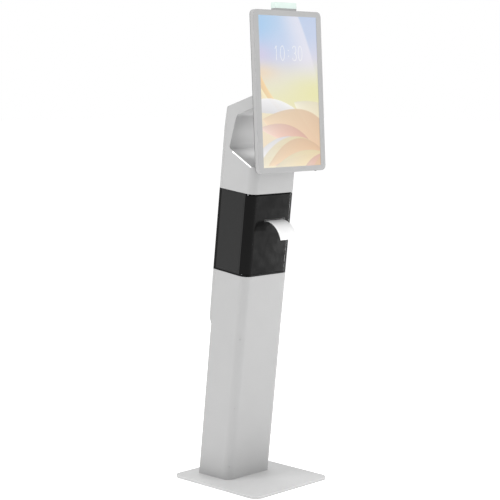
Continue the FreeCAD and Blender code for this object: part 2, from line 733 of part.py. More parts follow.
def bay_side_panel():
    """Right-hand side panel with a raised field."""
    z0 = BAY_BOTTOM + BAY_FLOOR_THICKNESS
    z1 = BAY_TOP - SEAM
    rear = BODY_DEPTH
    inner = HALF - PANEL_PROUD - PANEL_THICKNESS
    low = BAY_ROOF_INSET - PANEL_PROUD - PANEL_THICKNESS
    plate = box(inner, HALF - PANEL_PROUD, PANEL_EDGE, rear, z0, z1)
    field = box(HALF - PANEL_PROUD - 0.1, HALF, PANEL_EDGE + PANEL_BORDER, rear - PANEL_BORDER,
                z0 + PANEL_BORDER, z1 - PANEL_BORDER)
    field = field.makeChamfer(0.5, [e for e in field.Edges if e.CenterOfMass.x > HALF - 0.01])
    panel = fuse([plate, field])
    if low < 0:
        roof_edge = box(0, HALF - BAY_ROOF_INSET, 0, FAR, BAY_TOP - BAY_ROOF_THICKNESS, FAR)
        panel = panel.cut(roof_edge)
    return panel


def bay_rear_cover():
    """Black cover behind the printer."""
    return rear_tray(BAY_BOTTOM + SEAM, BAY_TOP - SEAM, 0)


def printer_door():
    """Curved door round the front of the bay, with a stiffening flange at top and bottom."""
    outer = plan_block(HALF, 0, 2 * BODY_DEPTH, DOOR_BOTTOM, DOOR_TOP, FRONT_CORNER, 0)
    inner = plan_block(HALF - DOOR_WALL, DOOR_WALL, 2 * BODY_DEPTH, DOOR_BOTTOM + DOOR_FLANGE,
                       DOOR_TOP - DOOR_FLANGE, FRONT_CORNER - DOOR_WALL, 0)
    behind = box(-FAR, FAR, DOOR_EDGE, FAR, 0, 2 * FAR)
    deep = box(HINGE_X + DOOR_FLANGE_DEPTH, HALF - DOOR_FLANGE_DEPTH, DOOR_WALL + DOOR_FLANGE_DEPTH,
               FAR, DOOR_BOTTOM - 1, DOOR_TOP + 1)
    door = cut(outer, [inner, behind, deep])
    slot = box(SLOT_CENTRE - SLOT_WIDTH / 2, SLOT_CENTRE + SLOT_WIDTH / 2, -1, DOOR_WALL + 1,
               SLOT_Z - SLOT_HEIGHT / 2 - SLOT_LINER, SLOT_Z + SLOT_HEIGHT / 2 + SLOT_LINER)
    hinge = rod_z(HINGE_PIN_RADIUS + RUNNING_FIT, 0, 2 * FAR, HINGE_X, HINGE_Y)
    return cut(door, [slot, hinge])


def slot_bezel():
    """Liner of the paper slot, with a thin rim on the door's face and a chute behind."""
    half = SLOT_WIDTH / 2
    high = SLOT_HEIGHT / 2
    rim = box(SLOT_CENTRE - half - SLOT_RIM, SLOT_CENTRE + half + SLOT_RIM, -0.6, 0,
              SLOT_Z - high - SLOT_RIM, SLOT_Z + high + SLOT_RIM)
    chute = box(SLOT_CENTRE - half, SLOT_CENTRE + half, -0.6, CHUTE_DEPTH,
                SLOT_Z - high - SLOT_LINER, SLOT_Z + high + SLOT_LINER)
    gap = box(SLOT_CENTRE - half + SLOT_LINER, SLOT_CENTRE + half - SLOT_LINER, -2, CHUTE_DEPTH + 1,
              SLOT_Z - high, SLOT_Z + high)
    return fuse([rim, chute]).cut(gap)


def hinge_pins():
    """Upper and lower pins that the door turns on."""
    low = rod_z(HINGE_PIN_RADIUS, BAY_BOTTOM + HINGE_PIN_SEAT, DOOR_BOTTOM + DOOR_FLANGE + 3, HINGE_X,
                HINGE_Y)
    high = rod_z(HINGE_PIN_RADIUS, DOOR_TOP - DOOR_FLANGE - 3, BAY_TOP - HINGE_PIN_SEAT, HINGE_X, HINGE_Y)
    return group([low, high])


def lock_place():
    """Depth and height of the cam lock in the right side panel."""
    return Vector(0, PANEL_EDGE + LOCK_BEHIND, BAY_BOTTOM + LOCK_RISE)


def lock_barrel():
    """Key lock through the right side panel."""
    place = lock_place()
    collar = rod_x(8.0, HALF, HALF + 1.5, place.y, place.z)
    barrel = rod_x(6.0, HALF - CAM_INSET + CAM_THICKNESS + 0.5, HALF + 1.5, place.y, place.z)
    core = fuse([collar, barrel])
    keyway = box(HALF, HALF + 5, place.y - 0.6, place.y + 0.6, place.z - 3.0, place.z + 3.0)
    bore = rod_x(2.5 + RUNNING_FIT, 0, HALF - 6.0, place.y, place.z)
    return cut(core, [keyway, bore])


def lock_cam():
    """Cam on the lock's spindle, drawn unlocked: it points forward, and turns up to lock."""
    place = lock_place()
    x0 = HALF - CAM_INSET
    x1 = x0 + CAM_THICKNESS
    arm = box(x0, x1, place.y - CAM_REACH, place.y, place.z - CAM_HALF_WIDTH, place.z + CAM_HALF_WIDTH)
    boss = rod_x(CAM_HALF_WIDTH + 1, x0, x1, place.y, place.z)
    spindle = rod_x(2.5, x0, HALF - 7.0, place.y, place.z)
    return fuse([arm, boss, spindle])


def lock_catch():
    """Bracket on the inside of the door, whose tab lies behind the turned-up cam."""
    place = lock_place()
    x1 = HALF - CAM_INSET - CATCH_GAP
    tab_front = place.y + CAM_HALF_WIDTH + CATCH_GAP
    low = place.z + 2 * CAM_HALF_WIDTH
    high = place.z + CAM_REACH - CAM_HALF_WIDTH
    arm = box(x1 - CATCH_PLATE, x1, 0, tab_front + CATCH_PLATE, low, high)
    tab = box(x1 - CATCH_PLATE, x1 + CATCH_GAP + CAM_THICKNESS, tab_front, tab_front + CATCH_PLATE, low, high)
    inside = plan_block(HALF - DOOR_WALL, DOOR_WALL, 2 * BODY_DEPTH, low, high, FRONT_CORNER - DOOR_WALL, 0)
    return fuse([arm, tab]).common(inside)


# ---------------------------------------------------------------- printer

def print_centre(x):
    """Across the kiosk, from the middle of the paper."""
    return SLOT_CENTRE + x


def frame_side(side):
    """One side plate of the printer's frame."""
    x = print_centre(side * (PRINTER_HALF + FRAME_PLATE / 2))
    plate = box(x - FRAME_PLATE / 2, x + FRAME_PLATE / 2, CHUTE_DEPTH + 4, PLATEN_SETBACK + 26,
                SLOT_Z - 34, SLOT_Z + 26)
    return cut(plate, [rod_x(SHAFT_RADIUS + RUNNING_FIT, x - 5, x + 5, PLATEN_SETBACK, PLATEN_Z)])


def printer_frame():
    """Side plates and cross members that carry the platen, the head and the cutter."""
    x0 = print_centre(-PRINTER_HALF)
    x1 = print_centre(PRINTER_HALF)
    back = box(x0, x1, PLATEN_SETBACK + 24, PLATEN_SETBACK + 26, SLOT_Z - 34, SLOT_Z - 10)
    top = box(x0, x1, PLATEN_SETBACK - 10, PLATEN_SETBACK + 26, SLOT_Z + 24, SLOT_Z + 26)
    front = box(x0, x1, CHUTE_DEPTH + 4, CHUTE_DEPTH + 6, SLOT_Z - 34, SLOT_Z - 8)
    return fuse([frame_side(-1), frame_side(1), back, top, front, button_box()])


def printer_stand():
    """Bracket from the bay floor up to the printer's frame."""
    x0 = print_centre(-PRINTER_HALF - FRAME_PLATE)
    x1 = print_centre(PRINTER_HALF + FRAME_PLATE)
    floor = BAY_BOTTOM + BAY_FLOOR_THICKNESS
    rest = box(x0, x1, CHUTE_DEPTH + 6, CHUTE_DEPTH + 18, SLOT_Z - 36, SLOT_Z - 34)
    wall = box(x0, x1, CHUTE_DEPTH + 6, CHUTE_DEPTH + 8, floor, SLOT_Z - 34)
    foot = box(x0, x1, CHUTE_DEPTH + 6, CHUTE_DEPTH + 15, floor, floor + 2)
    window = box(x0 + 14, x1 - 14, 0, 40, floor + 18, SLOT_Z - 50)
    return fuse([rest, wall, foot]).cut(window)


def thermal_head():
    """Heater block above the platen."""
    x0 = print_centre(-PRINTER_HALF)
    x1 = print_centre(PRINTER_HALF)
    bottom = SLOT_Z + PAPER_CLEARANCE
    block = box(x0, x1, PLATEN_SETBACK - 6, PLATEN_SETBACK + 10, bottom, bottom + 10)
    fins = [box(x0 + 4, x1 - 4, PLATEN_SETBACK - 6 + k * 4, PLATEN_SETBACK - 4 + k * 4, bottom + 10,
                bottom + 18) for k in range(4)]
    return fuse([block] + fins)


def gear(teeth, width, x0, y, z, turned):
    """A spur gear along x with straight-flanked teeth; turned is the first tooth's angle."""
    pitch_radius = teeth * GEAR_MODULE / 2
    root = pitch_radius - 1.15 * GEAR_MODULE
    tip = pitch_radius + 0.75 * GEAR_MODULE
    pitch_angle = 2 * math.pi / teeth
    corners = []
    for index in range(teeth):
        middle = turned + index * pitch_angle
        for radius, share in ((root, -0.26), (tip, -0.11), (tip, 0.11), (root, 0.26)):
            angle = middle + share * pitch_angle
            corners.append(Vector(x0, y + radius * math.cos(angle), z + radius * math.sin(angle)))
    wire = Part.makePolygon(corners + corners[:1])
    return Part.Face(wire).extrude(Vector(width, 0, 0))


def gear_x():
    """Where the gear train starts, outside the printer's frame."""
    return print_centre(PRINTER_HALF + FRAME_PLATE) + 0.5


def platen_roller():
    """Rubber platen on its shaft."""
    half = PAPER_WIDTH / 2
    return rod_x(PLATEN_RADIUS, print_centre(-half), print_centre(half), PLATEN_SETBACK, PLATEN_Z)


def platen_shaft():
    """Shaft ends of the platen, the right one with its gear."""
    half = PAPER_WIDTH / 2
    left = rod_x(SHAFT_RADIUS, print_centre(-PRINTER_HALF - FRAME_PLATE - 1), print_centre(-half),
                 PLATEN_SETBACK, PLATEN_Z)
    right = rod_x(SHAFT_RADIUS, print_centre(half), gear_x() + GEAR_WIDTH + 1, PLATEN_SETBACK, PLATEN_Z)
    wheel = gear(PLATEN_TEETH, GEAR_WIDTH, gear_x(), PLATEN_SETBACK, PLATEN_Z, 0.0)
    return group([left, fuse([right, wheel])])


def pinion_distance():
    """Centre distance of the gear train, with its backlash."""
    return (PLATEN_TEETH + PINION_TEETH) * GEAR_MODULE / 2 + GEAR_BACKLASH


def feed_motor():
    """Stepper motor inside the frame, behind the platen's gear end."""
    y = PLATEN_SETBACK + pinion_distance()
    face = gear_x() + GEAR_WIDTH + 1.5
    half = MOTOR_SIZE / 2
    can = box(face, face + MOTOR_LENGTH, y - 6.0, y - 6.0 + MOTOR_SIZE, PLATEN_Z - half, PLATEN_Z + half)
    can = can.makeFillet(3.0, [e for e in can.Edges if abs(e.CenterOfMass.x - face - MOTOR_LENGTH / 2) < 1])
    bracket = box(gear_x() - 0.5, face + 4.0, y + 20.0, y + 22.0, PLATEN_Z - half, PLATEN_Z - 4)
    bore = rod_x(1.5 + RUNNING_FIT, face - 1, face + MOTOR_LENGTH - 4, y, PLATEN_Z)
    return cut(fuse([can, bracket]), [bore])


def motor_pinion():
    """Pinion and motor shaft."""
    y = PLATEN_SETBACK + pinion_distance()
    turned = math.pi + math.pi / PINION_TEETH
    wheel = gear(PINION_TEETH, GEAR_WIDTH, gear_x(), y, PLATEN_Z, turned)
    shaft = rod_x(1.5, gear_x(), gear_x() + GEAR_WIDTH + MOTOR_LENGTH - 6, y, PLATEN_Z)
    return fuse([wheel, shaft])


def cutter_y():
    """Depth of the cutter blade."""
    return CHUTE_DEPTH + 9.0


def cutter_edge():
    """Height of the lifted blade's lowest point."""
    return SLOT_Z + PAPER_THICKNESS + 1.2


def cutter_blade():
    """Guillotine blade above the paper path, with its slanted edge."""
    x0 = print_centre(-PAPER_WIDTH / 2 - 1)
    x1 = print_centre(PAPER_WIDTH / 2 + 1)
    low = cutter_edge()
    outline = [Vector(x0, 0, low), Vector(x1, 0, low + 1.6), Vector(x1, 0, low + 14),
               Vector(x0, 0, low + 14), Vector(x0, 0, low)]
    blade = Part.Face(Part.makePolygon(outline)).extrude(Vector(0, CUTTER_THICKNESS, 0))
    blade.translate(Vector(0, cutter_y(), 0))
    return blade


def cutter_guides():
    """Grooved guides at both ends of the blade, with the fixed anvil under the paper."""
    y = cutter_y()
    half = PAPER_WIDTH / 2 + 1
    pieces = []
    for side in (-1, 1):
        x_in = print_centre(side * (half - 2.0))
        x_out = print_centre(side * PRINTER_HALF)
        guide = box(min(x_in, x_out), max(x_in, x_out), y - 2.5, y + CUTTER_THICKNESS + 2.5,
                    SLOT_Z - 8, SLOT_Z + 24)
        x_stop = print_centre(side * (half + 0.3))
        groove = box(min(x_in - side, x_stop), max(x_in - side, x_stop), y - 0.1,
                     y + CUTTER_THICKNESS + 0.1, cutter_edge() - CUTTER_TRAVEL - 2.6, SLOT_Z + 25)
        pieces.append(guide.cut(groove))
    anvil = box(print_centre(-half), print_centre(half), y - 2.5, y - 0.6, SLOT_Z - 8, SLOT_Z - 1.0)
    return fuse(pieces + [anvil])


def paper_web():
    """Paper from the roll up over the platen to the cutter."""
    half = PAPER_WIDTH / 2
    y0 = cutter_y() + CUTTER_THICKNESS + 3.0
    z = SLOT_Z - PAPER_THICKNESS
    rear = PLATEN_SETBACK + 14.0
    path = [Vector(0, y0, z), Vector(0, rear, z), Vector(0, rear + 6.0, z - 8.0),
            Vector(0, ROLL_SETBACK - 5.0, ROLL_Z + ROLL_RADIUS + 1.2)]
    edges = []
    for start, end in zip(path[:-1], path[1:]):
        along = (end - start).normalize()
        side = Vector(0, -along.z, along.y) * PAPER_THICKNESS
        corners = [start, end, end + side, start + side, start]
        strip = Part.Face(Part.makePolygon(corners)).extrude(Vector(PAPER_WIDTH, 0, 0))
        edges.append(strip)
    for joint in path[1:-1]:
        edges.append(rod_x(PAPER_THICKNESS, 0, PAPER_WIDTH, joint.y, joint.z))
    web = fuse(edges)
    web.translate(Vector(print_centre(-half), 0, 0))
    return web


def paper_roll():
    """Receipt paper on its cardboard core."""
    half = PAPER_WIDTH / 2
    roll = rod_x(ROLL_RADIUS, print_centre(-half), print_centre(half), ROLL_SETBACK, ROLL_Z)
    return roll.cut(rod_x(CORE_RADIUS, -FAR, FAR, ROLL_SETBACK, ROLL_Z))


def roll_core():
    """Cardboard tube inside the roll."""
    half = PAPER_WIDTH / 2
    tube = rod_x(CORE_RADIUS, print_centre(-half), print_centre(half), ROLL_SETBACK, ROLL_Z)
    return tube.cut(rod_x(CORE_RADIUS - CORE_WALL, -FAR, FAR, ROLL_SETBACK, ROLL_Z))


def roll_spindle():
    """Rod through the core, dropped into the cradle's slots."""
    reach = PAPER_WIDTH / 2 + CRADLE_GAP + 3.0
    radius = CORE_RADIUS - CORE_WALL - RUNNING_FIT
    rod_piece = rod_x(radius, print_centre(-reach), print_centre(reach), ROLL_SETBACK, ROLL_Z)
    knobs = [rod_x(radius + 2, print_centre(side * reach), print_centre(side * (reach + 2)), ROLL_SETBACK,
                   ROLL_Z) for side in (-1, 1)]
    return fuse([rod_piece] + knobs)


def roll_cradle():
    """Two cheeks that hold the spindle, standing on the bay floor."""
    floor = BAY_BOTTOM + BAY_FLOOR_THICKNESS
    radius = CORE_RADIUS - CORE_WALL - RUNNING_FIT
    pieces = []
    for side in (-1, 1):
        x0 = print_centre(side * (PAPER_WIDTH / 2 + CRADLE_GAP))
        x1 = x0 + side * 2.0
        cheek = box(min(x0, x1), max(x0, x1), ROLL_SETBACK - 24, ROLL_SETBACK + 24, floor, ROLL_Z + 14)
        slot = box(x0 - 5, x0 + 5, ROLL_SETBACK - radius, ROLL_SETBACK + radius, ROLL_Z, ROLL_Z + 20)
        pieces.append(cut(cheek, [slot, rod_x(radius, x0 - 5, x0 + 5, ROLL_SETBACK, ROLL_Z)]))
    tie = box(print_centre(-PAPER_WIDTH / 2 - CRADLE_GAP), print_centre(PAPER_WIDTH / 2 + CRADLE_GAP),
              ROLL_SETBACK - 24, ROLL_SETBACK + 24, floor, floor + 2)
    return fuse(pieces + [tie])


def printer_board():
    """Control board on posts above the printer's frame, with its connectors."""
    z0 = SLOT_Z + 26
    x0 = print_centre(-PRINTER_HALF)
    x1 = print_centre(PRINTER_HALF)
    y0 = PLATEN_SETBACK - 8
    board = box(x0, x1, y0, y0 + 32, z0 + 6, z0 + 7.6)
    posts = [rod_z(2.5, z0, z0 + 6, x, y) for x in (x0 + 5, x1 - 5) for y in (y0 + 5, y0 + 27)]
    blocks = [box(x0 + 10 + k * 18, x0 + 22 + k * 18, y0 + 20, y0 + 28, z0 + 7.6, z0 + 14) for k in range(4)]
    return fuse([board] + posts + blocks)


def button_place():
    """The feed button, beside the printer's frame."""
    return Vector(print_centre(-PRINTER_HALF - 16), CHUTE_DEPTH + 6, SLOT_Z - 14)


def button_box():
    """Small housing of the feed button, on an arm from the printer's frame."""
    place = button_place()
    case = centred_box(16, 16, place.y, place.y + 12, place.x, place.z)
    bore = rod_y(BUTTON_RADIUS + 0.3, place.y - 1, place.y + 8, place.x, place.z)
    arm = box(place.x + 8, print_centre(-PRINTER_HALF - FRAME_PLATE), place.y + 4, place.y + 6, place.z - 6,
              place.z + 6)
    return fuse([case.cut(bore), arm])


def feed_button():
    """Push button that feeds the paper."""
    place = button_place()
    return rod_y(BUTTON_RADIUS, place.y - 3, place.y + 5, place.x, place.z)


def receipt():
    """Printed receipt that curls out of the slot."""
    low = SLOT_Z - SLOT_HEIGHT / 2 + PAPER_CLEARANCE
    start = Vector(0, CHUTE_DEPTH - 1, low + 0.4)
    lip = Vector(0, -1.0, low)
    end = Vector(0, -RECEIPT_REACH, low - RECEIPT_DROP)
    chord = end - lip
    middle = (lip + end) / 2 + Vector(0, chord.z, -chord.y).normalize() * RECEIPT_BOW
    lift = Vector(0, 0, PAPER_THICKNESS)
    push = Vector(0, chord.z, -chord.y).normalize() * PAPER_THICKNESS
    edges = [Part.LineSegment(start, lip).toShape(), Part.Arc(lip, middle, end).toShape(),
             Part.LineSegment(end, end + push).toShape(),
             Part.Arc(end + push, middle + push, lip + lift).toShape(),
             Part.LineSegment(lip + lift, start + lift).toShape(),
             Part.LineSegment(start + lift, start).toShape()]
    sheet = Part.Face(Part.Wire(edges)).extrude(Vector(PAPER_WIDTH, 0, 0))
    sheet.translate(Vector(print_centre(-PAPER_WIDTH / 2), 0, 0))
    return sheet


# ---------------------------------------------------------------- head

def recess_corners():
    """Lip, innermost corner, roof's back corner and roof's front, all on the recess."""
    floor_front = Vector(0, 0, BAY_TOP + RECESS_LIP)
    low = Vector(0, RECESS_DEPTH, BAY_TOP + RECESS_LIP + RECESS_FLOOR_RISE)
    high = Vector(0, RECESS_DEPTH - RECESS_BACK_SLOPE, low.z + RECESS_BACK_HEIGHT)
    roof_front = Vector(0, 0, high.z + RECESS_ROOF_RISE)
    return floor_front, low, high, roof_front


def head_corners():
    """The head's side outline, counter-clockwise from its lower rear corner."""
    floor_front, low, high, roof_front = recess_corners()
    slope = (roof_front.z - high.z) / high.y
    jaw_low = Vector(0, JAW_FRONT_LOW, roof_front.z - slope * JAW_FRONT_LOW)
    jaw_high = Vector(0, JAW_FRONT_HIGH, BAY_TOP + JAW_TOP_FRONT)
    crown = Vector(0, FULL_DEPTH - JAW_BACK_SETBACK, BAY_TOP + JAW_TOP_BACK)
    bend = Vector(0, FULL_DEPTH, BAY_TOP + HEAD_BEND)
    return [Vector(0, FULL_DEPTH, BAY_TOP), bend, crown, jaw_high, jaw_low, high, low, floor_front,
            Vector(0, 0, BAY_TOP)]


def head_prism(distance, half_width):
    """The head's side outline, moved in by a distance, as a prism across the kiosk."""
    radii = [0, BEND_RADIUS, CROWN_RADIUS, LIP_RADIUS, LIP_RADIUS, RECESS_HIGH_RADIUS,
             RECESS_LOW_RADIUS, LIP_RADIUS, 0]
    hollow_side = {5, 6}
    adjusted = []
    for index, radius in enumerate(radii):
        change = distance if index in hollow_side else -distance
        adjusted.append(max(radius + change, 0.5) if radius else 0)
    return side_prism(inset(head_corners(), distance), adjusted, -half_width, half_width)


def head_plan(distance):
    """The column's section through the head's height, moved in by a distance."""
    return plan_block(HALF - distance, distance, FULL_DEPTH - distance, BAY_TOP - 50, BAY_TOP + 400,
                      FRONT_CORNER - distance, max(REAR_CORNER - distance, 0))


def recess_band(distance):
    """The recess and the material within a distance of it."""
    floor_front, low, high, roof_front = recess_corners()
    floor_step = (low - floor_front) * 0.3
    roof_step = (roof_front - high) * 0.3
    corners = [floor_front - floor_step, low, high, roof_front + roof_step]
    radii = [0, RECESS_LOW_RADIUS + distance, RECESS_HIGH_RADIUS + distance, 0]
    return side_prism(inset(corners, -distance), radii, -FAR, FAR)


def head_solid():
    """The head's outer form."""
    return head_prism(0, HALF).common(head_plan(0))


def jaw_mouth():
    """Opening in the front of the upper jaw for the screen's ears."""
    half = EAR_OUTER + 4.0
    _, _, _, roof_front = recess_corners()
    low = roof_front.z
    return box(-half, half, -20, PIVOT_SETBACK - 2, low - 2, BAY_TOP + JAW_TOP_FRONT - 5.0)


def light_zone():
    """Where the light strips run, along the floor of the recess."""
    low = recess_corners()[1]
    return box(-HALF, HALF, LIGHT_FRONT_SETBACK, low.y - LIGHT_BACK_GAP, BAY_TOP, low.z)


def light_body():
    """Both light strips, flush with the side faces and the floor of the recess."""
    band = head_solid().common(recess_band(LIGHT_BAND)).cut(head_plan(LIGHT_BAND))
    return band.common(light_zone())


def head_parts():
    """The head's covers, all cut from one hollow form so that they meet."""
    outer = head_solid()
    inside_walls = head_plan(WALL)
    wrap = outer.cut(inside_walls)
    rim = outer.cut(head_prism(WALL, HALF)).common(inside_walls)
    rear_zone = box(-FAR, FAR, BODY_DEPTH + SEAM, FAR, 0, 2 * FAR)
    front_zone = box(-FAR, FAR, -FAR, BODY_DEPTH, 0, 2 * FAR)
    recess = recess_band(WALL)
    lights = light_body()
    liner = rim.common(recess).cut(lights)
    shell = wrap.common(front_zone).cut(lights)
    rest = rim.common(front_zone).cut(recess)
    crown_zone = box(-FAR, FAR, -FAR, FAR, BAY_TOP + RECESS_LIP + 30, 2 * FAR)
    crown = rest.common(crown_zone).cut(jaw_mouth())
    floor = cut(rest.cut(crown_zone), upright_passages(BAY_TOP, BAY_TOP + WALL))
    shell = fuse([shell, floor])
    rear = fuse([wrap.common(rear_zone), rim.common(rear_zone)])
    return {"head_shell": shell, "recess_liner": liner, "head_top_cover": crown,
            "head_rear_cover": rear}


def head_plate():
    """Right-hand C-shaped plate that carries the screen and is bolted to the upright."""
    x1 = UPRIGHT_INNER
    plate = head_prism(HEAD_FRAME_INSET, HALF).common(
        box(x1 - HEAD_FRAME_THICKNESS, x1, -FAR, FAR, BAY_TOP + HEAD_FRAME_TAIL, 2 * FAR))
    tail_front = box(-FAR, FAR, -FAR, 40, 0, BAY_TOP + RECESS_LIP - 25)
    pin_hole = rod_x(PIVOT_RADIUS, -FAR, FAR, PIVOT_SETBACK, PIVOT_Z)
    return cut(plate, [tail_front, pin_hole])


def head_frame():
    """Both head plates, joined by three round ties."""
    reach = UPRIGHT_INNER - HEAD_FRAME_THICKNESS / 2
    _, low, high, _ = recess_corners()
    spine = (low.y + FULL_DEPTH) / 2 + 1.0
    spots = [(spine, low.z + 20.0), (spine - 6.0, high.z - 10.0), (UPRIGHT_FRONT - 20.0, BAY_TOP + 40.0)]
    ties = [rod_x(TIE_RADIUS, -reach, reach, y, z) for y, z in spots]
    plate = head_plate()
    return fuse([plate, mirrored(plate)] + ties)


def tilt_pin():
    """Pin that the screen tilts on, with a friction washer between each ear and the head frame."""
    reach = UPRIGHT_INNER + 3.0
    disc = rod_x(WASHER_RADIUS, EAR_OUTER + 0.2, UPRIGHT_INNER - HEAD_FRAME_THICKNESS, PIVOT_SETBACK, PIVOT_Z)
    washer = disc.cut(rod_x(PIVOT_RADIUS, 0, FAR, PIVOT_SETBACK, PIVOT_Z))
    return group([rod_x(PIVOT_RADIUS, -reach, reach, PIVOT_SETBACK, PIVOT_Z), washer, mirrored(washer)])


# ---------------------------------------------------------------- screen

def display_bezel():
    """Frame round the picture, with a thin lip over the edge of the glass."""
    outer = rounded_panel(BEZEL_WIDTH, BEZEL_HEIGHT, 0, BEZEL_DEPTH, BEZEL_CORNER)
    rim = [edge for edge in outer.Edges if all(abs(v.Point.y) < 0.001 for v in edge.Vertexes)]
    outer = outer.makeFillet(BEZEL_ROUND, rim)
    window = centred_box(PANEL_WIDTH, PANEL_HEIGHT, -1, BEZEL_DEPTH + 1)
    pocket = rounded_panel(BEZEL_WIDTH - 2 * BEZEL_WALL, BEZEL_HEIGHT - 2 * BEZEL_WALL, BEZEL_FACE,
                           BEZEL_DEPTH + 1, BEZEL_CORNER - BEZEL_WALL)
    return cut(outer, [window, pocket])


def touch_glass():
    """Touch-sensitive cover glass."""
    return centred_box(PANEL_WIDTH + 2 * GLASS_LAP, PANEL_HEIGHT + 2 * GLASS_LAP, BEZEL_FACE, GLASS_BACK)


def lcd_panel():
    """Flat display panel behind the glass."""
    return centred_box(PANEL_WIDTH + 2 * LCD_MARGIN_X, PANEL_HEIGHT + 2 * LCD_MARGIN_Y, GLASS_BACK, LCD_BACK)


def display_tray():
    """Folded tray that clamps the panel into the bezel."""
    width = BEZEL_WIDTH - 2 * BEZEL_WALL - 4
    height = BEZEL_HEIGHT - 2 * BEZEL_WALL - 4
    sheet = rounded_panel(width, height, LCD_BACK, TRAY_BACK, BEZEL_CORNER - BEZEL_WALL - 2)
    lip = rounded_panel(width, height, GLASS_BACK, LCD_BACK, BEZEL_CORNER - BEZEL_WALL - 2)
    lip_hollow = centred_box(PANEL_WIDTH + 2 * LCD_MARGIN_X + 0.6, PANEL_HEIGHT + 2 * LCD_MARGIN_Y + 0.6,
                             GLASS_BACK - 1, LCD_BACK)
    vents = [centred_box(60, 6, LCD_BACK - 1, TRAY_BACK + 1, side * 60, rise)
             for side in (-1, 1) for rise in (-190, 190)]
    return cut(fuse([sheet, lip.cut(lip_hollow)]), vents)


def hump(inset_by, y0, y1):
    """Sloped-sided form of the rear shell, moved in by a wall."""
    width, height, slope = HUMP_WIDTH - 2 * inset_by, HUMP_HEIGHT - 2 * inset_by, HUMP_SLOPE
    corner = HUMP_CORNER - inset_by
    base = [Vector(sx * width / 2, y0, sz * height / 2) for sx, sz in ((-1, -1), (1, -1), (1, 1), (-1, 1))]
    top = [Vector(p.x - math.copysign(slope, p.x), y1, p.z - math.copysign(slope, p.z)) for p in base]
    wires = [Part.makePolygon(loop + loop[:1]) for loop in (base, top)]
    form = Part.makeLoft(wires, True, True)
    edges = []
    for edge in form.Edges:
        ends = [v.Point.y for v in edge.Vertexes]
        if max(ends) - min(ends) > (y1 - y0) / 2:
            edges.append(edge)
    return form.makeFillet(corner / 2, edges)


def display_rear_shell():
    """Back cover: a flat flange with a hump over the electronics."""
    flange = rounded_panel(BEZEL_WIDTH - 1.0, BEZEL_HEIGHT - 1.0, BEZEL_DEPTH, BEZEL_DEPTH + SHELL_WALL,
                           BEZEL_CORNER - 0.5)
    outer = hump(0, BEZEL_DEPTH, SHELL_BACK)
    inner = hump(SHELL_WALL, BEZEL_DEPTH - 0.5, SHELL_BACK - SHELL_WALL)
    shell = fuse([flange, outer]).cut(inner)
    slots = []
    for rise in (-1, 1):
        slots += vent_slots(HUMP_WIDTH * 0.3, SHELL_BACK - 6, SHELL_BACK + 2, rise * HUMP_HEIGHT * 0.33 - 16,
                            4, 10.0, 3.5)
    return cut(shell, slots)


def display_board():
    """Driver board on the back of the tray."""
    y0 = TRAY_BACK + 4.0
    board = centred_box(150, 120, y0, y0 + 1.6, 0, 40)
    posts = [rod_y(3, TRAY_BACK, y0, sx * 68, 40 + sz * 52) for sx in (-1, 1) for sz in (-1, 1)]
    chips = [centred_box(22, 22, y0 + 1.6, y0 + 5, -30 + k * 32, 40) for k in range(3)]
    return fuse([board] + posts + chips)


def vesa_plate():
    """Mounting plate on the hump, with two ears that reach back to the tilt pin."""
    rise = -SCREEN_RAISE
    plate = rounded_panel(2 * (EAR_OUTER + VESA_MARGIN), VESA_HEIGHT, SHELL_BACK, VESA_BACK, 6.0, 0, rise)
    arm = box(EAR_OUTER - EAR_THICKNESS, EAR_OUTER, SHELL_BACK, SCREEN_STANDOFF, rise - EAR_HALF_HEIGHT,
              rise + EAR_HALF_HEIGHT)
    tip = rod_x(EAR_HALF_HEIGHT, EAR_OUTER - EAR_THICKNESS, EAR_OUTER, SCREEN_STANDOFF, rise)
    ear = fuse([arm, tip])
    holes = [rod_y(VESA_SCREW_RADIUS, 0, FAR, x, z) for x, z in vesa_places()]
    holes.append(rod_x(PIVOT_RADIUS + RUNNING_FIT, -FAR, FAR, SCREEN_STANDOFF, rise))
    return cut(fuse([plate, ear, mirrored(ear)]), holes)


def vesa_places():
    """The four screws of the mounting pattern."""
    half = VESA_SPACING / 2
    return [(sx * half, -SCREEN_RAISE + sz * half) for sx in (-1, 1) for sz in (-1, 1)]


def vesa_screws():
    """Screw heads on the mounting plate."""
    screws = []
    for x, z in vesa_places():
        shank = rod_y(VESA_SCREW_RADIUS, SHELL_BACK, VESA_BACK, x, z)
        head = rod_y(VESA_SCREW_RADIUS * 2, VESA_BACK, VESA_BACK + 1.6, x, z)
        screws.append(fuse([shank, head]))
    return group(screws)


def status_light_base():
    """Foot of the status light, with a tab down the back of the bezel."""
    top = BEZEL_HEIGHT / 2
    back = LIGHT_SETBACK + LIGHT_DEPTH
    foot = box(-LIGHT_WIDTH / 2, LIGHT_WIDTH / 2, LIGHT_SETBACK, back, top, top + LIGHT_BASE_HEIGHT)
    tab = box(-LIGHT_WIDTH / 2, LIGHT_WIDTH / 2, BEZEL_DEPTH + SHELL_WALL, back, top - 22, top)
    return fuse([foot, tab])


def status_light_lens():
    """Translucent block that glows in the status colour."""
    z0 = BEZEL_HEIGHT / 2 + LIGHT_BASE_HEIGHT
    half = LIGHT_WIDTH / 2 + LENS_OVERHANG
    lens = box(-half, half, LIGHT_SETBACK - LENS_OVERHANG, LIGHT_SETBACK + LIGHT_DEPTH + LENS_OVERHANG, z0,
               z0 + LIGHT_LENS_HEIGHT)
    return lens.makeFillet(2.5, [e for e in lens.Edges if e.CenterOfMass.z > z0 + 1])


def screen_button():
    """Power button under the lower edge of the bezel."""
    z0 = -BEZEL_HEIGHT / 2
    return rod_z(3.0, z0 - 1.6, z0 + BEZEL_WALL + 0.6, BEZEL_WIDTH / 2 - 40, BEZEL_DEPTH / 2 + 3)


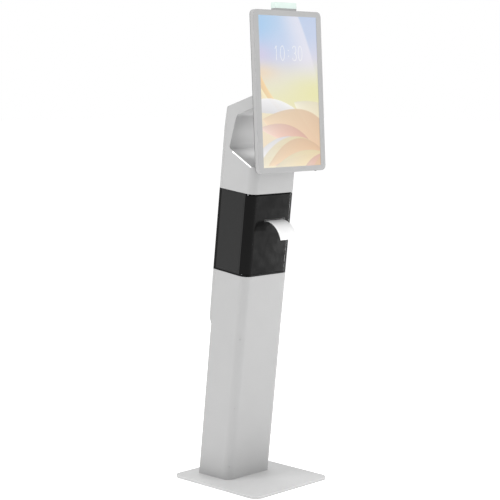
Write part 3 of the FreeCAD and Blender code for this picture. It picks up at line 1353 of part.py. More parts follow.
def bezel_with_button_hole():
    """The bezel, bored for its power button."""
    z0 = -BEZEL_HEIGHT / 2
    bore = rod_z(3.3, z0 - 3, z0 + BEZEL_WALL + 1, BEZEL_WIDTH / 2 - 40, BEZEL_DEPTH / 2 + 3)
    return display_bezel().cut(bore)


# ---------------------------------------------------------------- assembly

def base_nodes():
    return {"base_plate": base_plate(), "base_pads": base_pads(), "spine_frame": spine_frame(),
            "foot_bolts": foot_bolts()}


def column_nodes():
    supply_z = BASE_TOP + 120.0
    computer_z = supply_z + SUPPLY_SIZE[2] + 30.0
    return {"column_shell": column_shell(), "column_rear_panel": column_rear_panel(),
            "lower_rear_cover": lower_rear_cover(), "cover_screws": cover_screws(),
            "equipment_plate": equipment_plate(),
            "power_supply": finned_case(SUPPLY_SIZE, supply_z, 7),
            "computer": finned_case(COMPUTER_SIZE, computer_z, 11),
            "power_inlet": power_inlet(), "power_switch": power_switch(), "network_jack": network_jack()}


def bay_nodes():
    panel = bay_side_panel()
    hole = rod_x(6.0, -FAR, FAR, lock_place().y, lock_place().z)
    return {"bay_floor": bay_floor(), "bay_roof": bay_roof(), "bay_left_panel": mirrored(panel),
            "bay_right_panel": panel.cut(hole), "bay_rear_cover": bay_rear_cover(),
            "printer_door": printer_door(), "slot_bezel": slot_bezel(), "hinge_pins": hinge_pins(),
            "lock_barrel": lock_barrel(), "lock_cam": lock_cam(), "lock_catch": lock_catch()}


def printer_nodes():
    return {"printer_frame": printer_frame(), "printer_stand": printer_stand(),
            "thermal_head": thermal_head(), "platen_roller": platen_roller(),
            "platen_shaft": platen_shaft(), "feed_motor": feed_motor(),
            "motor_pinion": motor_pinion(), "cutter_blade": cutter_blade(),
            "cutter_guides": cutter_guides(), "paper_web": paper_web(), "paper_roll": paper_roll(),
            "roll_core": roll_core(), "roll_spindle": roll_spindle(), "roll_cradle": roll_cradle(),
            "printer_board": printer_board(), "feed_button": feed_button(),
            "receipt": receipt()}


def head_nodes():
    nodes = head_parts()
    nodes.update({"light_strips": light_body(), "head_frame": head_frame(), "tilt_pin": tilt_pin()})
    return nodes


def screen_nodes():
    return {"display_bezel": bezel_with_button_hole(), "touch_glass": touch_glass(),
            "lcd_panel": lcd_panel(), "display_tray": display_tray(),
            "display_rear_shell": display_rear_shell(), "display_board": display_board(),
            "vesa_plate": vesa_plate(), "vesa_screws": vesa_screws(),
            "status_light_base": status_light_base(), "status_light_lens": status_light_lens(),
            "screen_button": screen_button()}


def build():
    """Build every sub-part and write it in the kiosk's frame."""
    os.makedirs("parts", exist_ok=True)
    for name, shape in base_nodes().items():
        save(name, shape)
    for nodes in (column_nodes(), bay_nodes(), printer_nodes(), head_nodes()):
        for name, shape in nodes.items():
            save(name, lean(shape))
    for name, shape in screen_nodes().items():
        save(name, pose_screen(shape))


build()
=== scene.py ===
"""Leaning touchscreen kiosk: finishes, fine pieces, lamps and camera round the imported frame.

Lengths are in metres. The column and head are worked out in the column's own axes (across, back
from the front plane, up along the column) and then leaned; the picture side is worked out in the
screen's own plane.
"""
import json
import logging
import math
from dataclasses import dataclass, field, replace
from enum import Enum

import bpy
import numpy as np
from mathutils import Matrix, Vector


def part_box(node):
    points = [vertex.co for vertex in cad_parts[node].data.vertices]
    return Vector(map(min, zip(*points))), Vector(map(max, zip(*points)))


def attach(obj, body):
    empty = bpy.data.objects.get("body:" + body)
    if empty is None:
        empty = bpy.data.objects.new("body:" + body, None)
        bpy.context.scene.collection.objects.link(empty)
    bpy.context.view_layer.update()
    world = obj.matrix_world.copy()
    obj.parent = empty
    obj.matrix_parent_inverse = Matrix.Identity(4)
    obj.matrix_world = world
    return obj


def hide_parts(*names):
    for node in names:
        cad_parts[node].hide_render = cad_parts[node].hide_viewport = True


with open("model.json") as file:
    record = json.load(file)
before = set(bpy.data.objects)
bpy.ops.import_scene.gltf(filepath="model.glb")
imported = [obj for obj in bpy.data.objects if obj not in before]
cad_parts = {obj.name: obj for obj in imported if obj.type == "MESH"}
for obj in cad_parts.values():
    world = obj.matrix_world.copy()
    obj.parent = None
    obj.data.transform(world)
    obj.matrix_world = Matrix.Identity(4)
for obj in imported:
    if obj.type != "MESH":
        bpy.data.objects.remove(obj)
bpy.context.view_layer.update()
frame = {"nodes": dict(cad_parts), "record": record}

Array = np.ndarray
Socket = bpy.types.NodeSocket
Span = tuple[float, float]
Colour = tuple[float, float, float]
Place = tuple[float, float, float]
Solid = tuple[Array, list[list[int]]]  # points, and the point numbers of each face

LOG = logging.getLogger("kiosk")

LEAN = math.radians(6.66)  # forward lean of the column
COLUMN_FOOT = 0.0057  # where the column's front plane meets the floor
SCREEN_TILT = math.radians(3.03)  # backward tilt of the screen
FULL_TURN = 2 * math.pi
X_AXIS, Z_AXIS = np.eye(3)[[0, 2]]
STEEP = 0.9  # an axis with more rise than this counts as upright
TINY = 1e-6  # keeps a share of nothing from being divided by nothing

BYTE = 255  # top of a display value given in whole numbers
CURVE_START, TOE, SHIFT, POWER = 0.04045, 12.92, 0.055, 2.4  # of display values
WHITE = (1.0, 1.0, 1.0)


# --- sums

def linear(display: Array | float) -> Array:
    """Turn display values into linear light.

    Formula: value / 12.92 up to 0.04045, and ((value + 0.055) / 1.055) ** 2.4 above it.

    Args:
        display: Display values from 0 to 1.

    Returns:
        The linear values.
    """
    value = np.asarray(display, float)
    return np.where(value <= CURVE_START, value / TOE, ((value + SHIFT) / (1 + SHIFT)) ** POWER)


def paint(red: int, green: int, blue: int) -> Colour:
    """Return the linear colour of a display colour given from 0 to 255."""
    return tuple(float(part) for part in linear(np.array([red, green, blue]) / BYTE))


def grey(level: int) -> Colour:
    """Return the linear colour of a neutral display grey from 0 to 255."""
    return paint(level, level, level)


def smooth_step(low: float, high: float, value: Array) -> Array:
    """Ease from 0 at low to 1 at high.

    Formula: t * t * (3 - 2 * t), where t is the place between low and high, held within 0 and 1.

    Args:
        low: Where the step starts.
        high: Where the step ends.
        value: The values to ease.

    Returns:
        The eased values.
    """
    t = np.clip((value - low) / (high - low), 0, 1)
    return t * t * (3 - 2 * t)


def leaned(across: Array, back: Array, up: Array, lean: float = LEAN,
           foot: Span = (COLUMN_FOOT, 0.0)) -> Array:
    """Turn places in the axes of a leaning plane, the column's or the screen's, into the frame's.

    Formula: a turn by the lean about the X axis, then a shift to the plane's foot.

    Args:
        across: Distance to the right of the middle.
        back: Distance behind the plane.
        up: Distance up along the plane.
        lean: Forward lean of the plane.
        foot: Back and up, where the plane starts.

    Returns:
        The places, with x, y and z on the last axis.
    """
    across, back, up = np.broadcast_arrays(across, back, up)
    y = foot[0] + back * math.cos(lean) - up * math.sin(lean)
    z = foot[1] + back * math.sin(lean) + up * math.cos(lean)
    return np.stack([across, y, z], axis=-1)


# --- meshes

def grid_faces(rows: int, columns: int, closed_rows: bool = False,
               closed_columns: bool = False) -> Array:
    """Number the four-cornered faces of a grid of points.

    Args:
        rows: Points along the first parameter.
        columns: Points along the second parameter.
        closed_rows: Whether the last row joins the first.
        closed_columns: Whether the last column joins the first.

    Returns:
        One row of four point numbers per face.
    """
    i = np.arange(rows if closed_rows else rows - 1)[:, None]
    j = np.arange(columns if closed_columns else columns - 1)[None, :]
    i_next, j_next = (i + 1) % rows, (j + 1) % columns
    corners = ((i, j), (i_next, j), (i_next, j_next), (i, j_next))
    each = [np.broadcast_to(row * columns + column, (i.size, j.size)) for row, column in corners]
    return np.stack(each, axis=-1).reshape(-1, 4)


def revolve(radius: Array, rise: Array, centre: Array, axis: Array) -> Array:
    """Carry a profile round an axis.

    Formula: centre + axis * rise + radius * (first * cos a + second * sin a), with first and second
    square to the axis and the angle a running evenly round.

    Args:
        radius: Distance from the axis; rows along the profile, columns round the axis.
        rise: Distance along the axis, of the same shape or one that stretches to it.
        centre: A point on the axis.
        axis: The axis, of unit length.

    Returns:
        The points, rows along the profile and columns round the axis.
    """
    angle = np.linspace(0, FULL_TURN, radius.shape[1], endpoint=False)
    first = np.cross(axis, Z_AXIS if abs(axis[2]) < STEEP else X_AXIS)
    first = first / np.linalg.norm(first)
    second = np.cross(axis, first)
    ring = np.cos(angle)[:, None] * first + np.sin(angle)[:, None] * second
    along = np.broadcast_to(rise, radius.shape)[..., None] * axis
    return centre + along + radius[..., None] * ring


def joined(parts: list[Solid]) -> Solid:
    """Join several meshes' points and faces into one mesh's."""
    points, faces, start = [], [], 0
    for part_points, part_faces in parts:
        points.append(part_points)
        faces += [[start + corner for corner in face] for face in part_faces]
        start += len(part_points)
    return np.vstack(points), faces


def turned(radius: Array, rise: Array, centre: Array, axis: Array) -> Solid:
    """Make a closed turned solid, whose first and last rows are gathered to single points.

    Args:
        radius: Distance from the axis, rows along the profile from its low end to its high end.
        rise: Distance along the axis.
        centre: A point on the axis.
        axis: The axis, of unit length.

    Returns:
        Points and faces, facing outward.
    """
    rows, columns = radius.shape
    body = revolve(radius, rise, centre, axis).reshape(-1, 3)
    ends = np.array([centre + axis * float(np.ravel(rise)[end]) for end in (0, -1)])
    low, high, last = rows * columns, rows * columns + 1, (rows - 1) * columns
    faces = grid_faces(rows, columns, closed_columns=True)[:, ::-1].tolist()
    for place in range(columns):
        after = (place + 1) % columns
        faces += [[low, after, place], [high, last + place, last + after]]
    return np.vstack([body, ends]), faces


def node_points(node: str) -> Array:
    """Read a CAD node's points."""
    mesh = frame["nodes"][node].data
    flat = np.empty(len(mesh.vertices) * 3)
    mesh.vertices.foreach_get("co", flat)
    return flat.reshape(-1, 3)


def clusters(node: str, reach: float) -> list[Array]:
    """Split a CAD node's points into its separate solids.

    Args:
        node: The node's name.
        reach: Points of one solid lie within this distance of its first point.

    Returns:
        The points of each solid.
    """
    left = node_points(node)
    found = []
    while len(left):
        near = np.linalg.norm(left - left[0], axis=1) < reach
        found.append(left[near])
        left = left[~near]
    return found


# --- finishes

EVEN = (1.0, 1.0, 1.0)
MIX_FIRST, MIX_SECOND, MIX_RESULT = 6, 7, 2  # colour sockets of a mix


class Graph:
    """Shader nodes of one material, with short calls for the ones in use."""

    def __init__(self, name: str) -> None:
        """Start a material with a principled shader."""
        self.material = bpy.data.materials.new(name)
        self.material.use_nodes = True
        self.tree = self.material.node_tree
        self.tree.nodes.clear()
        self.shader = self.node("ShaderNodeBsdfPrincipled")
        output = self.node("ShaderNodeOutputMaterial")
        self.tree.links.new(self.shader.outputs[0], output.inputs[0])
        self.place = self.node("ShaderNodeTexCoord").outputs["Object"]

    def node(self, kind: str, **settings: object) -> bpy.types.Node:
        """Add a node with the given properties."""
        made = self.tree.nodes.new(kind)
        for key, value in settings.items():
            setattr(made, key, value)
        return made

    def feed(self, socket: Socket, value: object) -> None:
        """Link an output to a socket, or write a plain value on it."""
        if isinstance(value, Socket):
            self.tree.links.new(value, socket)
        else:
            socket.default_value = value

    def set(self, name: str, value: object) -> None:
        """Feed one of the shader's own sockets."""
        if isinstance(value, tuple) and len(value) == 3:
            value = (*value, 1.0)
        self.feed(self.shader.inputs[name], value)

    def fed(self, kind: str, inputs: dict, output: str | int = 0, **settings: object) -> Socket:
        """Add a node, feed its inputs and return one of its outputs."""
        made = self.node(kind, **settings)
        for name, value in inputs.items():
            self.feed(made.inputs[name], value)
        return made.outputs[output]

    def noise(self, size: float, detail: float = 2.0, stretch: Colour = EVEN) -> Socket:
        """Return noise whose blotches are about size metres wide, scaled along each axis."""
        place = self.fed("ShaderNodeMapping", {"Vector": self.place, "Scale": stretch})
        inputs = {"Vector": place, "Scale": 1 / size, "Detail": detail}
        return self.fed("ShaderNodeTexNoise", inputs)

    def cells(self, size: float, feature: str = "F1") -> Socket:
        """Return the distance pattern of cells about size metres wide."""
        inputs = {"Vector": self.place, "Scale": 1 / size}
        return self.fed("ShaderNodeTexVoronoi", inputs, "Distance", feature=feature)

    def remap(self, value: Socket, start: Span, end: Span) -> Socket:
        """Return the value carried from one range to another, held at its ends."""
        ends = dict(zip(("From Min", "From Max", "To Min", "To Max"), (*start, *end)))
        return self.fed("ShaderNodeMapRange", {"Value": value, **ends})

    def sums(self, operation: str, first: object, second: object) -> Socket:
        """Return two values joined by a sum such as ADD or MULTIPLY."""
        return self.fed("ShaderNodeMath", {0: first, 1: second}, operation=operation)

    def mix(self, factor: Socket, first: object, second: object) -> Socket:
        """Return a blend of two colours."""
        ends = ((*end, 1.0) if isinstance(end, tuple) else end for end in (first, second))
        inputs = {0: factor, **dict(zip((MIX_FIRST, MIX_SECOND), ends))}
        return self.fed("ShaderNodeMix", inputs, MIX_RESULT, data_type="RGBA")

    def height(self) -> Socket:
        """Return the height above the floor."""
        return self.fed("ShaderNodeSeparateXYZ", {0: self.place}, "Z")

    def relief(self, height: Socket, depth: float, under: Socket | None = None) -> Socket:
        """Return the normal of a bumpy surface, depth metres deep."""
        inputs = {"Distance": depth, "Height": height}
        if under is not None:
            inputs["Normal"] = under
        return self.fed("ShaderNodeBump", inputs)


@dataclass(frozen=True)
class Pattern:
    """Noise of a size and detail, scaled along each axis, and carried from a span to another."""

    size: float
    detail: float
    stretch: Colour = EVEN
    span: Span = (0.3, 0.7)  # nearly all of the noise lies in this one
    end: Span = (0.0, 1.0)

    def on(self, graph: Graph) -> Socket:
        """Return the pattern over the surface."""
        return graph.remap(graph.noise(self.size, self.detail, self.stretch), self.span, self.end)


def scaled(colour: Colour, factor: float) -> Colour:
    """Return a colour made lighter or darker."""
    return tuple(min(1.0, part * factor) for part in colour)


@dataclass(frozen=True)
class Finish:
    """What one material slot looks like: colour and gloss that wander a little, and a relief."""

    slot: str
    colour: Colour
    roughness: float = 0.5
    metallic: float = 0.0
    specular: float = 0.5
    coat: float = 0.0
    drift: float = 0.03  # share by which the colour wanders
    drift_size: float = 0.09
    gloss_drift: float = 0.05
    gloss_size: float = 0.03
    grain: float = 0.0012
    depth: float = 0.00002
    # edges are lighter by this factor: rubbed wear and a painted highlight
    edge_tint: float = 1.12
    edge_gloss: float = 0.85

    def build(self) -> bpy.types.Material:
        """Make the material."""
        graph = Graph(self.slot)
        graph.set("Metallic", self.metallic)
        graph.set("Specular IOR Level", self.specular)
        graph.set("Coat Weight", self.coat)
        graph.set("Base Color", self.tint(graph))
        graph.set("Roughness", self.gloss(graph))
        graph.set("Normal", self.surface(graph))
        self.extras(graph)
        return graph.material

    def edge(self) -> "Finish":
        """Return the finish of the piece's edges: slightly rubbed, and lighter as a painted
        highlight.
        """
        return replace(self, slot=self.slot + "_edge", colour=scaled(self.colour, self.edge_tint),
                       roughness=self.roughness * self.edge_gloss)

    def tint(self, graph: Graph) -> Socket:
        """Return the colour over the surface."""
        blotch = Pattern(self.drift_size, 4.0).on(graph)
        darker, lighter = (scaled(self.colour, 1 + way * self.drift) for way in (-1, 1))
        return graph.mix(blotch, darker, lighter)

    def gloss(self, graph: Graph) -> Socket:
        """Return the roughness over the surface."""
        ends = (self.roughness - self.gloss_drift, self.roughness + self.gloss_drift)
        return Pattern(self.gloss_size, 3.0, end=ends).on(graph)

    def surface(self, graph: Graph) -> Socket:
        """Return the normal over the surface."""
        return graph.relief(graph.noise(self.grain), self.depth)

    def extras(self, graph: Graph) -> None:
        """Add what only this kind of finish has."""


@dataclass(frozen=True)
class PowderCoat(Finish):
    """Baked powder coat: orange-peel relief, fine specks, and a little dust low down."""

    peel: float = 0.0032
    specks: Pattern = Pattern(0.0007, 1.0, span=(0.62, 0.74), end=(0.0, 0.35))
    speck_shade: float = 0.86
    dust: Pattern = Pattern(0.03, 4.0, span=(0.4, 0.7))
    dust_height: float = 0.05
    dust_share: float = 0.30
    dust_shade: float = 0.88

    def tint(self, graph: Graph) -> Socket:
        """Return the colour, with specks and with dust near the floor."""
        speck = scaled(self.colour, self.speck_shade)
        speckled = graph.mix(self.specks.on(graph), super().tint(graph), speck)
        low = graph.remap(graph.height(), (0.0, self.dust_height), (self.dust_share, 0.0))
        dust = graph.sums("MULTIPLY", low, self.dust.on(graph))
        return graph.mix(dust, speckled, scaled(self.colour, self.dust_shade))

    def surface(self, graph: Graph) -> Socket:
        """Return an orange-peel relief, twice as deep as the fine grain over it."""
        peel = graph.relief(graph.noise(self.peel, 1.0), self.depth * 2)
        return graph.relief(graph.noise(self.grain), self.depth, peel)


@dataclass(frozen=True)
class FloorPlate(PowderCoat):
    """Powder coat on the floor plate, whose low sides carry painted shade."""

    side_top: float = 0.0096
    side_blur: float = 0.0008
    # share of the colour left on the plate's sides, where shade is painted
    painted_side_shade: float = 0.66

    def tint(self, graph: Graph) -> Socket:
        """Return the colour, with painted shade on the plate's sides."""
        brink = (self.side_top - self.side_blur, self.side_top)
        # mask of the plate's sides, which take the painted shade
        side = graph.remap(graph.height(), brink, (1.0, 0.0))
        return graph.mix(side, super().tint(graph), scaled(self.colour, self.painted_side_shade))


@dataclass(frozen=True)
class Moulded(Finish):
    """Moulded plastic with a spark-eroded grain and faint handling marks."""

    marks: Pattern = Pattern(0.004, 5.0, (1.0, 1.0, 0.12), (0.55, 0.75), (0.0, 0.10))

    def surface(self, graph: Graph) -> Socket:
        """Return the pebbled grain of the mould."""
        return graph.relief(graph.cells(self.grain), self.depth)

    def gloss(self, graph: Graph) -> Socket:
        """Return the roughness, with long faint wiping marks."""
        return graph.sums("ADD", super().gloss(graph), self.marks.on(graph))


@dataclass(frozen=True)
class Metal(Finish):
    """Drawn or ground metal: streaks along one axis in its colour, gloss and relief."""

    streak: Colour = (0.04, 1.0, 1.0)
    streak_shade: float = 0.82
    metallic: float = 1.0

    def tint(self, graph: Graph) -> Socket:
        """Return the colour, streaked."""
        streaks = Pattern(self.grain, 4.0, self.streak).on(graph)
        return graph.mix(streaks, super().tint(graph), scaled(self.colour, self.streak_shade))

    def surface(self, graph: Graph) -> Socket:
        """Return the streaked relief."""
        return graph.relief(graph.noise(self.grain, 4.0, self.streak), self.depth)


@dataclass(frozen=True)
class Paper(Finish):
    """Thermal paper or card: felted fibres in its colour and relief."""

    fibres: Pattern = Pattern(0.0006, 5.0, (0.25, 1.0, 1.0), (0.35, 0.65))
    fibre_shade: float = 0.97
    felt: Colour = (0.4, 1.0, 1.0)

    def tint(self, graph: Graph) -> Socket:
        """Return the colour with long fibres in it."""
        shade = scaled(self.colour, self.fibre_shade)
        return graph.mix(self.fibres.on(graph), super().tint(graph), shade)

    def surface(self, graph: Graph) -> Socket:
        """Return the felted relief."""
        return graph.relief(graph.noise(self.fibres.size, 4.0, self.felt), self.depth)


@dataclass(frozen=True)
class CoverGlass(Finish):
    """Clear cover glass with a faint haze of finger marks."""

    marks: Pattern = Pattern(0.022, 6.0, (1.0, 1.0, 0.6), (0.52, 0.72), (0.0, 0.07))
    bending: float = 1.45  # index of refraction

    def tint(self, graph: Graph) -> Colour:
        """Return the plain colour of clear glass."""
        return WHITE

    def gloss(self, graph: Graph) -> Socket:
        """Return a polish broken by finger marks."""
        return graph.sums("ADD", self.marks.on(graph), self.roughness)

    def extras(self, graph: Graph) -> None:
        """Make it clear."""
        graph.set("Transmission Weight", 1.0)
        graph.set("IOR", self.bending)


@dataclass(frozen=True)
class LitPanel(Finish):
    """A lit display, whose picture is a colour attribute, with a trace of its fine dots."""

    strength: float = 0.94
    dots: Pattern = Pattern(0.0008, 0.0, end=(0.0, 0.05))

    def extras(self, graph: Graph) -> None:
        """Light the surface with its own picture."""
        picture = graph.node("ShaderNodeAttribute", attribute_name=PICTURE_ATTRIBUTE)
        light = graph.mix(self.dots.on(graph), picture.outputs["Color"], WHITE)
        graph.set("Emission Color", light)
        graph.set("Emission Strength", self.strength)


@dataclass(frozen=True)
class Diffuser(Finish):
    """Opal plastic lit from behind by a row of lamps."""

    glow: Colour = WHITE
    strength: float = 1.0
    lamps: Pattern = Pattern(0.017, 0.0, span=(0.35, 0.65))
    between: float = 0.93  # brightness between two lamps

    def extras(self, graph: Graph) -> None:
        """Light it, a little brighter in front of each lamp."""
        light = graph.mix(self.lamps.on(graph), scaled(self.glow, self.between), self.glow)
        graph.set("Emission Color", light)
        graph.set("Emission Strength", self.strength)


@dataclass(frozen=True)
class CircuitBoard(Finish):
    """Solder mask over copper tracks."""

    track: float = 0.0022
    track_edge: Span = (0.04, 0.10)
    track_shade: float = 1.9

    def tracks(self, graph: Graph) -> Socket:
        """Return the pattern of the tracks."""
        return graph.cells(self.track, "DISTANCE_TO_EDGE")

    def tint(self, graph: Graph) -> Socket:
        """Return the mask's colour, lighter over the tracks."""
        tracks = graph.remap(self.tracks(graph), self.track_edge, (1.0, 0.0))
        return graph.mix(tracks, super().tint(graph), scaled(self.colour, self.track_shade))

    def surface(self, graph: Graph) -> Socket:
        """Return the relief of the tracks."""
        return graph.relief(self.tracks(graph), self.depth)


PICTURE_ATTRIBUTE = "picture"

FINISHES: tuple[Finish, ...] = (
    PowderCoat("panel_grey", grey(181), 0.46, specular=0.15, drift=0.012, depth=0.000012),
    FloorPlate("plate_grey", grey(226), 0.16, specular=0.55, coat=0.25, drift=0.01,
               gloss_drift=0.03, depth=0.000004),
    PowderCoat("bay_black", grey(16), 0.5, specular=0.12, drift=0.06),
    PowderCoat("bay_panel", grey(42), 0.34, specular=0.15, drift=0.02, gloss_drift=0.02),
    Moulded("door_black", grey(12), 0.15, specular=0.10, drift=0.05, grain=0.0009, depth=0.000004),
    PowderCoat("bezel_grey", grey(173), 0.42, specular=0.15, drift=0.012, depth=0.000008),
    CoverGlass("glass", grey(255), 0.02, specular=0.5, grain=0.02, depth=0.0000004),
    LitPanel("screen", grey(8), 0.35, specular=0.2),
    Metal("steel", paint(176, 178, 182), 0.38, grain=0.0009, depth=0.000006),
    Metal("bright_steel", paint(206, 207, 210), 0.2, grain=0.0006, depth=0.000003),
    Metal("aluminium", paint(192, 194, 197), 0.34, grain=0.0012, depth=0.000006,
          streak=(1.0, 1.0, 0.05)),
    Moulded("rubber", grey(38), 0.72, specular=0.3, drift=0.12, grain=0.0016, depth=0.00004),
    Moulded("black_plastic", grey(36), 0.42, specular=0.35, drift=0.06, grain=0.0008,
            depth=0.00001),
    Moulded("shell_black", grey(62), 0.55, specular=0.35, drift=0.05, grain=0.0011, depth=0.00003),
    CircuitBoard("board_green", paint(28, 92, 58), 0.35, depth=0.00004),
    Paper("paper", grey(250), 0.62, drift=0.008, grain=0.0008, depth=0.000008),
    Paper("core", paint(150, 122, 92), 0.8, drift=0.08, grain=0.0015, depth=0.00004),
    Diffuser("light_white", grey(250), 0.4, strength=1.0),
    Moulded("light_holder", grey(184), 0.4, drift=0.01, grain=0.0008, depth=0.000004),
    Diffuser("light_mint", paint(188, 200, 195), 0.3, glow=paint(234, 250, 243), strength=0.26),
)


@dataclass
class Wardrobe:
    """Gives every piece the finish of its slot, and makes each finish once."""

    finishes: dict[str, Finish] = field(default_factory=lambda: {f.slot: f for f in FINISHES})
    made: dict[str, bpy.types.Material] = field(default_factory=dict)

    def material(self, slot: str) -> bpy.types.Material:
        """Return the material of a slot, or of its edges, rubbed and with a painted highlight."""
        if slot not in self.made:
            plain = self.finishes[slot.removesuffix("_edge")]
            self.made[slot] = (plain.edge() if slot.endswith("_edge") else plain).build()
        return self.made[slot]

    def dress(self, piece: bpy.types.Object, slot: str) -> None:
        """Put a slot's finish, and its edge finish after it, on a piece."""
        piece.data.materials.clear()
        piece.data.materials.append(self.material(slot))
        piece.data.materials.append(self.material(slot + "_edge"))


# --- edges

MERGE_GAP = 0.000005  # loose triangles' points closer than this become one
EDGE_SLOT = 1  # place of the edge finish, rubbed and with a painted highlight, on a piece


def joined_triangles() -> bpy.types.NodeTree:
    """Make the modifier that joins a node's loose triangles and smooths its faces.

    Returns:
        The geometry node group: merge by distance, drop the imported normals, shade smooth.
    """
    tree = bpy.data.node_groups.new("joined_triangles", "GeometryNodeTree")
    for way in ("INPUT", "OUTPUT"):
        tree.interface.new_socket("Geometry", in_out=way, socket_type="NodeSocketGeometry")
    chain = [tree.nodes.new(kind) for kind in (
        "NodeGroupInput", "GeometryNodeMergeByDistance", "GeometryNodeRemoveAttribute",
        "GeometryNodeSetShadeSmooth", "NodeGroupOutput")]
    chain[1].inputs["Distance"].default_value = MERGE_GAP
    chain[2].inputs["Name"].default_value = "custom_normal"
    for before, after in zip(chain[:-1], chain[1:]):
        tree.links.new(before.outputs[0], after.inputs[0])
    return tree


@dataclass
class EdgeTool:
    """Breaks the sharp edges of CAD nodes, as pressing, moulding or filing leaves them."""

    corner: float = math.radians(40)
    flat: float = math.radians(0.3)
    segments: int = 2
    group: bpy.types.NodeTree = field(default_factory=joined_triangles)

    def soften(self, node: str, width: float) -> None:
        """Round a node's edges.

        Args:
            node: The CAD node.
            width: Width of the broken edge.
        """
        piece = frame["nodes"][node]
        piece.modifiers.new("joined", "NODES").node_group = self.group
        flat = piece.modifiers.new("flat", "DECIMATE")
        flat.decimate_type = "DISSOLVE"
        flat.angle_limit = self.flat
        bevel = piece.modifiers.new("edges", "BEVEL")
        bevel.width = width
        bevel.segments = self.segments
        bevel.limit_method = "ANGLE"
        bevel.angle_limit = self.corner
        # bevel faces take the edge finish, rubbed and with a painted highlight
        bevel.material = EDGE_SLOT
        piece.modifiers.new("normals", "WEIGHTED_NORMAL").keep_sharp = True


# --- sub-assemblies

@dataclass(frozen=True)
class CapScrew:
    """A cap screw with a hexagon socket, in shares of its head's radius and height."""

    columns: int = 24
    near: float = 0.0003  # points this near an end belong to it
    outer: float = 0.98  # points farther out than this are the head's
    rim: tuple[Span, ...] = ((1.0, 0.3), (0.94, 0.1), (0.84, 0.0))  # radius, drop from the top
    socket: Span = (0.46, 0.44)  # radius of its mouth and of its wall
    socket_depth: float = 0.6
    mouth_depth: float = 0.0001

    def solid(self, points: Array, axis: Array) -> Solid:
        """Turn a screw's profile about its axis.

        Formula: the socket's wall is the hexagon flat / cos(((a + 30 deg) mod 60 deg) - 30 deg) at
        the angle a.

        Args:
            points: The CAD screw's points.
            axis: Direction in which the head faces.

        Returns:
            The screw's points and faces.
        """
        way = points @ axis
        top, tip = way.max(), way.min()
        middle = points[way > top - self.near].mean(axis=0)
        centre = middle - axis * (middle @ axis)
        away = np.linalg.norm(points - points @ axis[:, None] * axis - centre, axis=1)
        head = away.max()
        under = way[away > head * self.outer].min()
        shank = away[way < tip + self.near].max()
        rows = [(shank, tip), (shank, under), (head, under)]
        rows += [(head * share, top - drop * (top - under)) for share, drop in self.rim]
        angle = np.linspace(0, FULL_TURN, self.columns, endpoint=False)
        sixth = FULL_TURN / 6
        hexagon = 1 / np.cos((angle + sixth / 2) % sixth - sixth / 2)
        mouth, wall = (head * share * hexagon for share in self.socket)
        radius = [np.full(self.columns, row[0]) for row in rows] + [mouth, wall, wall]
        bottom = top - (top - under) * self.socket_depth
        rise = [row[1] for row in rows] + [top, top - self.mouth_depth, bottom]
        return turned(np.array(radius), np.array(rise)[:, None], centre, axis)


@dataclass
class Assembly:
    """A group of CAD nodes and new pieces that are dressed together."""

    wardrobe: Wardrobe
    edges: EdgeTool
    screw_reach: float = 0.02
    crisp_turn: float = math.radians(35)

    def soften(self, widths: dict[str, float]) -> None:
        """Break the edges of several nodes, each by its own width."""
        for node, width in widths.items():
            self.edges.soften(node, width)
            LOG.info("node %s: edges broken by %.2f mm", node, width * 1000)

    def add(self, name: str, points: Array, faces: Array | list, body: str, slot: str,
            instead: str | None = None) -> bpy.types.Object:
        """Make a mesh at the origin that rides on a body, and dress it.

        Args:
            name: The piece's name.
            points: The mesh's points, x, y and z on the last axis.
            faces: Point numbers of each face.
            body: The body that it rides on.
            slot: The record's material slot that it takes its finish from.
            instead: The CAD node that it stands in for, if any.

        Returns:
            The new object.
        """
        mesh = bpy.data.meshes.new(name)
        corners = faces if isinstance(faces, list) else faces.tolist()
        mesh.from_pydata(points.reshape(-1, 3), [], corners)
        mesh.polygons.foreach_set("use_smooth", np.ones(len(mesh.polygons), bool))
        mesh.update()
        piece = bpy.data.objects.new(name, mesh)
        bpy.context.scene.collection.objects.link(piece)
        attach(piece, body)
        LOG.info("piece %s: %d points on %s", name, len(mesh.vertices), body)
        self.wardrobe.dress(piece, slot)
        if instead is not None:
            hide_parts(instead)
        return piece

    def socket_screws(self, name: str, node: str, axis: Array, body: str) -> None:
        """Make a node's screws again as cap screws with hexagon sockets.

        Args:
            name: The piece's name.
            node: The CAD node of the screws.
            axis: Direction in which the heads face.
            body: The body that they ride on.
        """
        screws = [CapScrew().solid(points, axis) for points in clusters(node, self.screw_reach)]
        self.crisp(self.add(name, *joined(screws), body, "steel", node))

    def crisp(self, piece: bpy.types.Object) -> None:
        """Keep a made piece's corners crisp where its faces turn sharply."""
        piece.modifiers.new("crisp", "EDGE_SPLIT").split_angle = self.crisp_turn


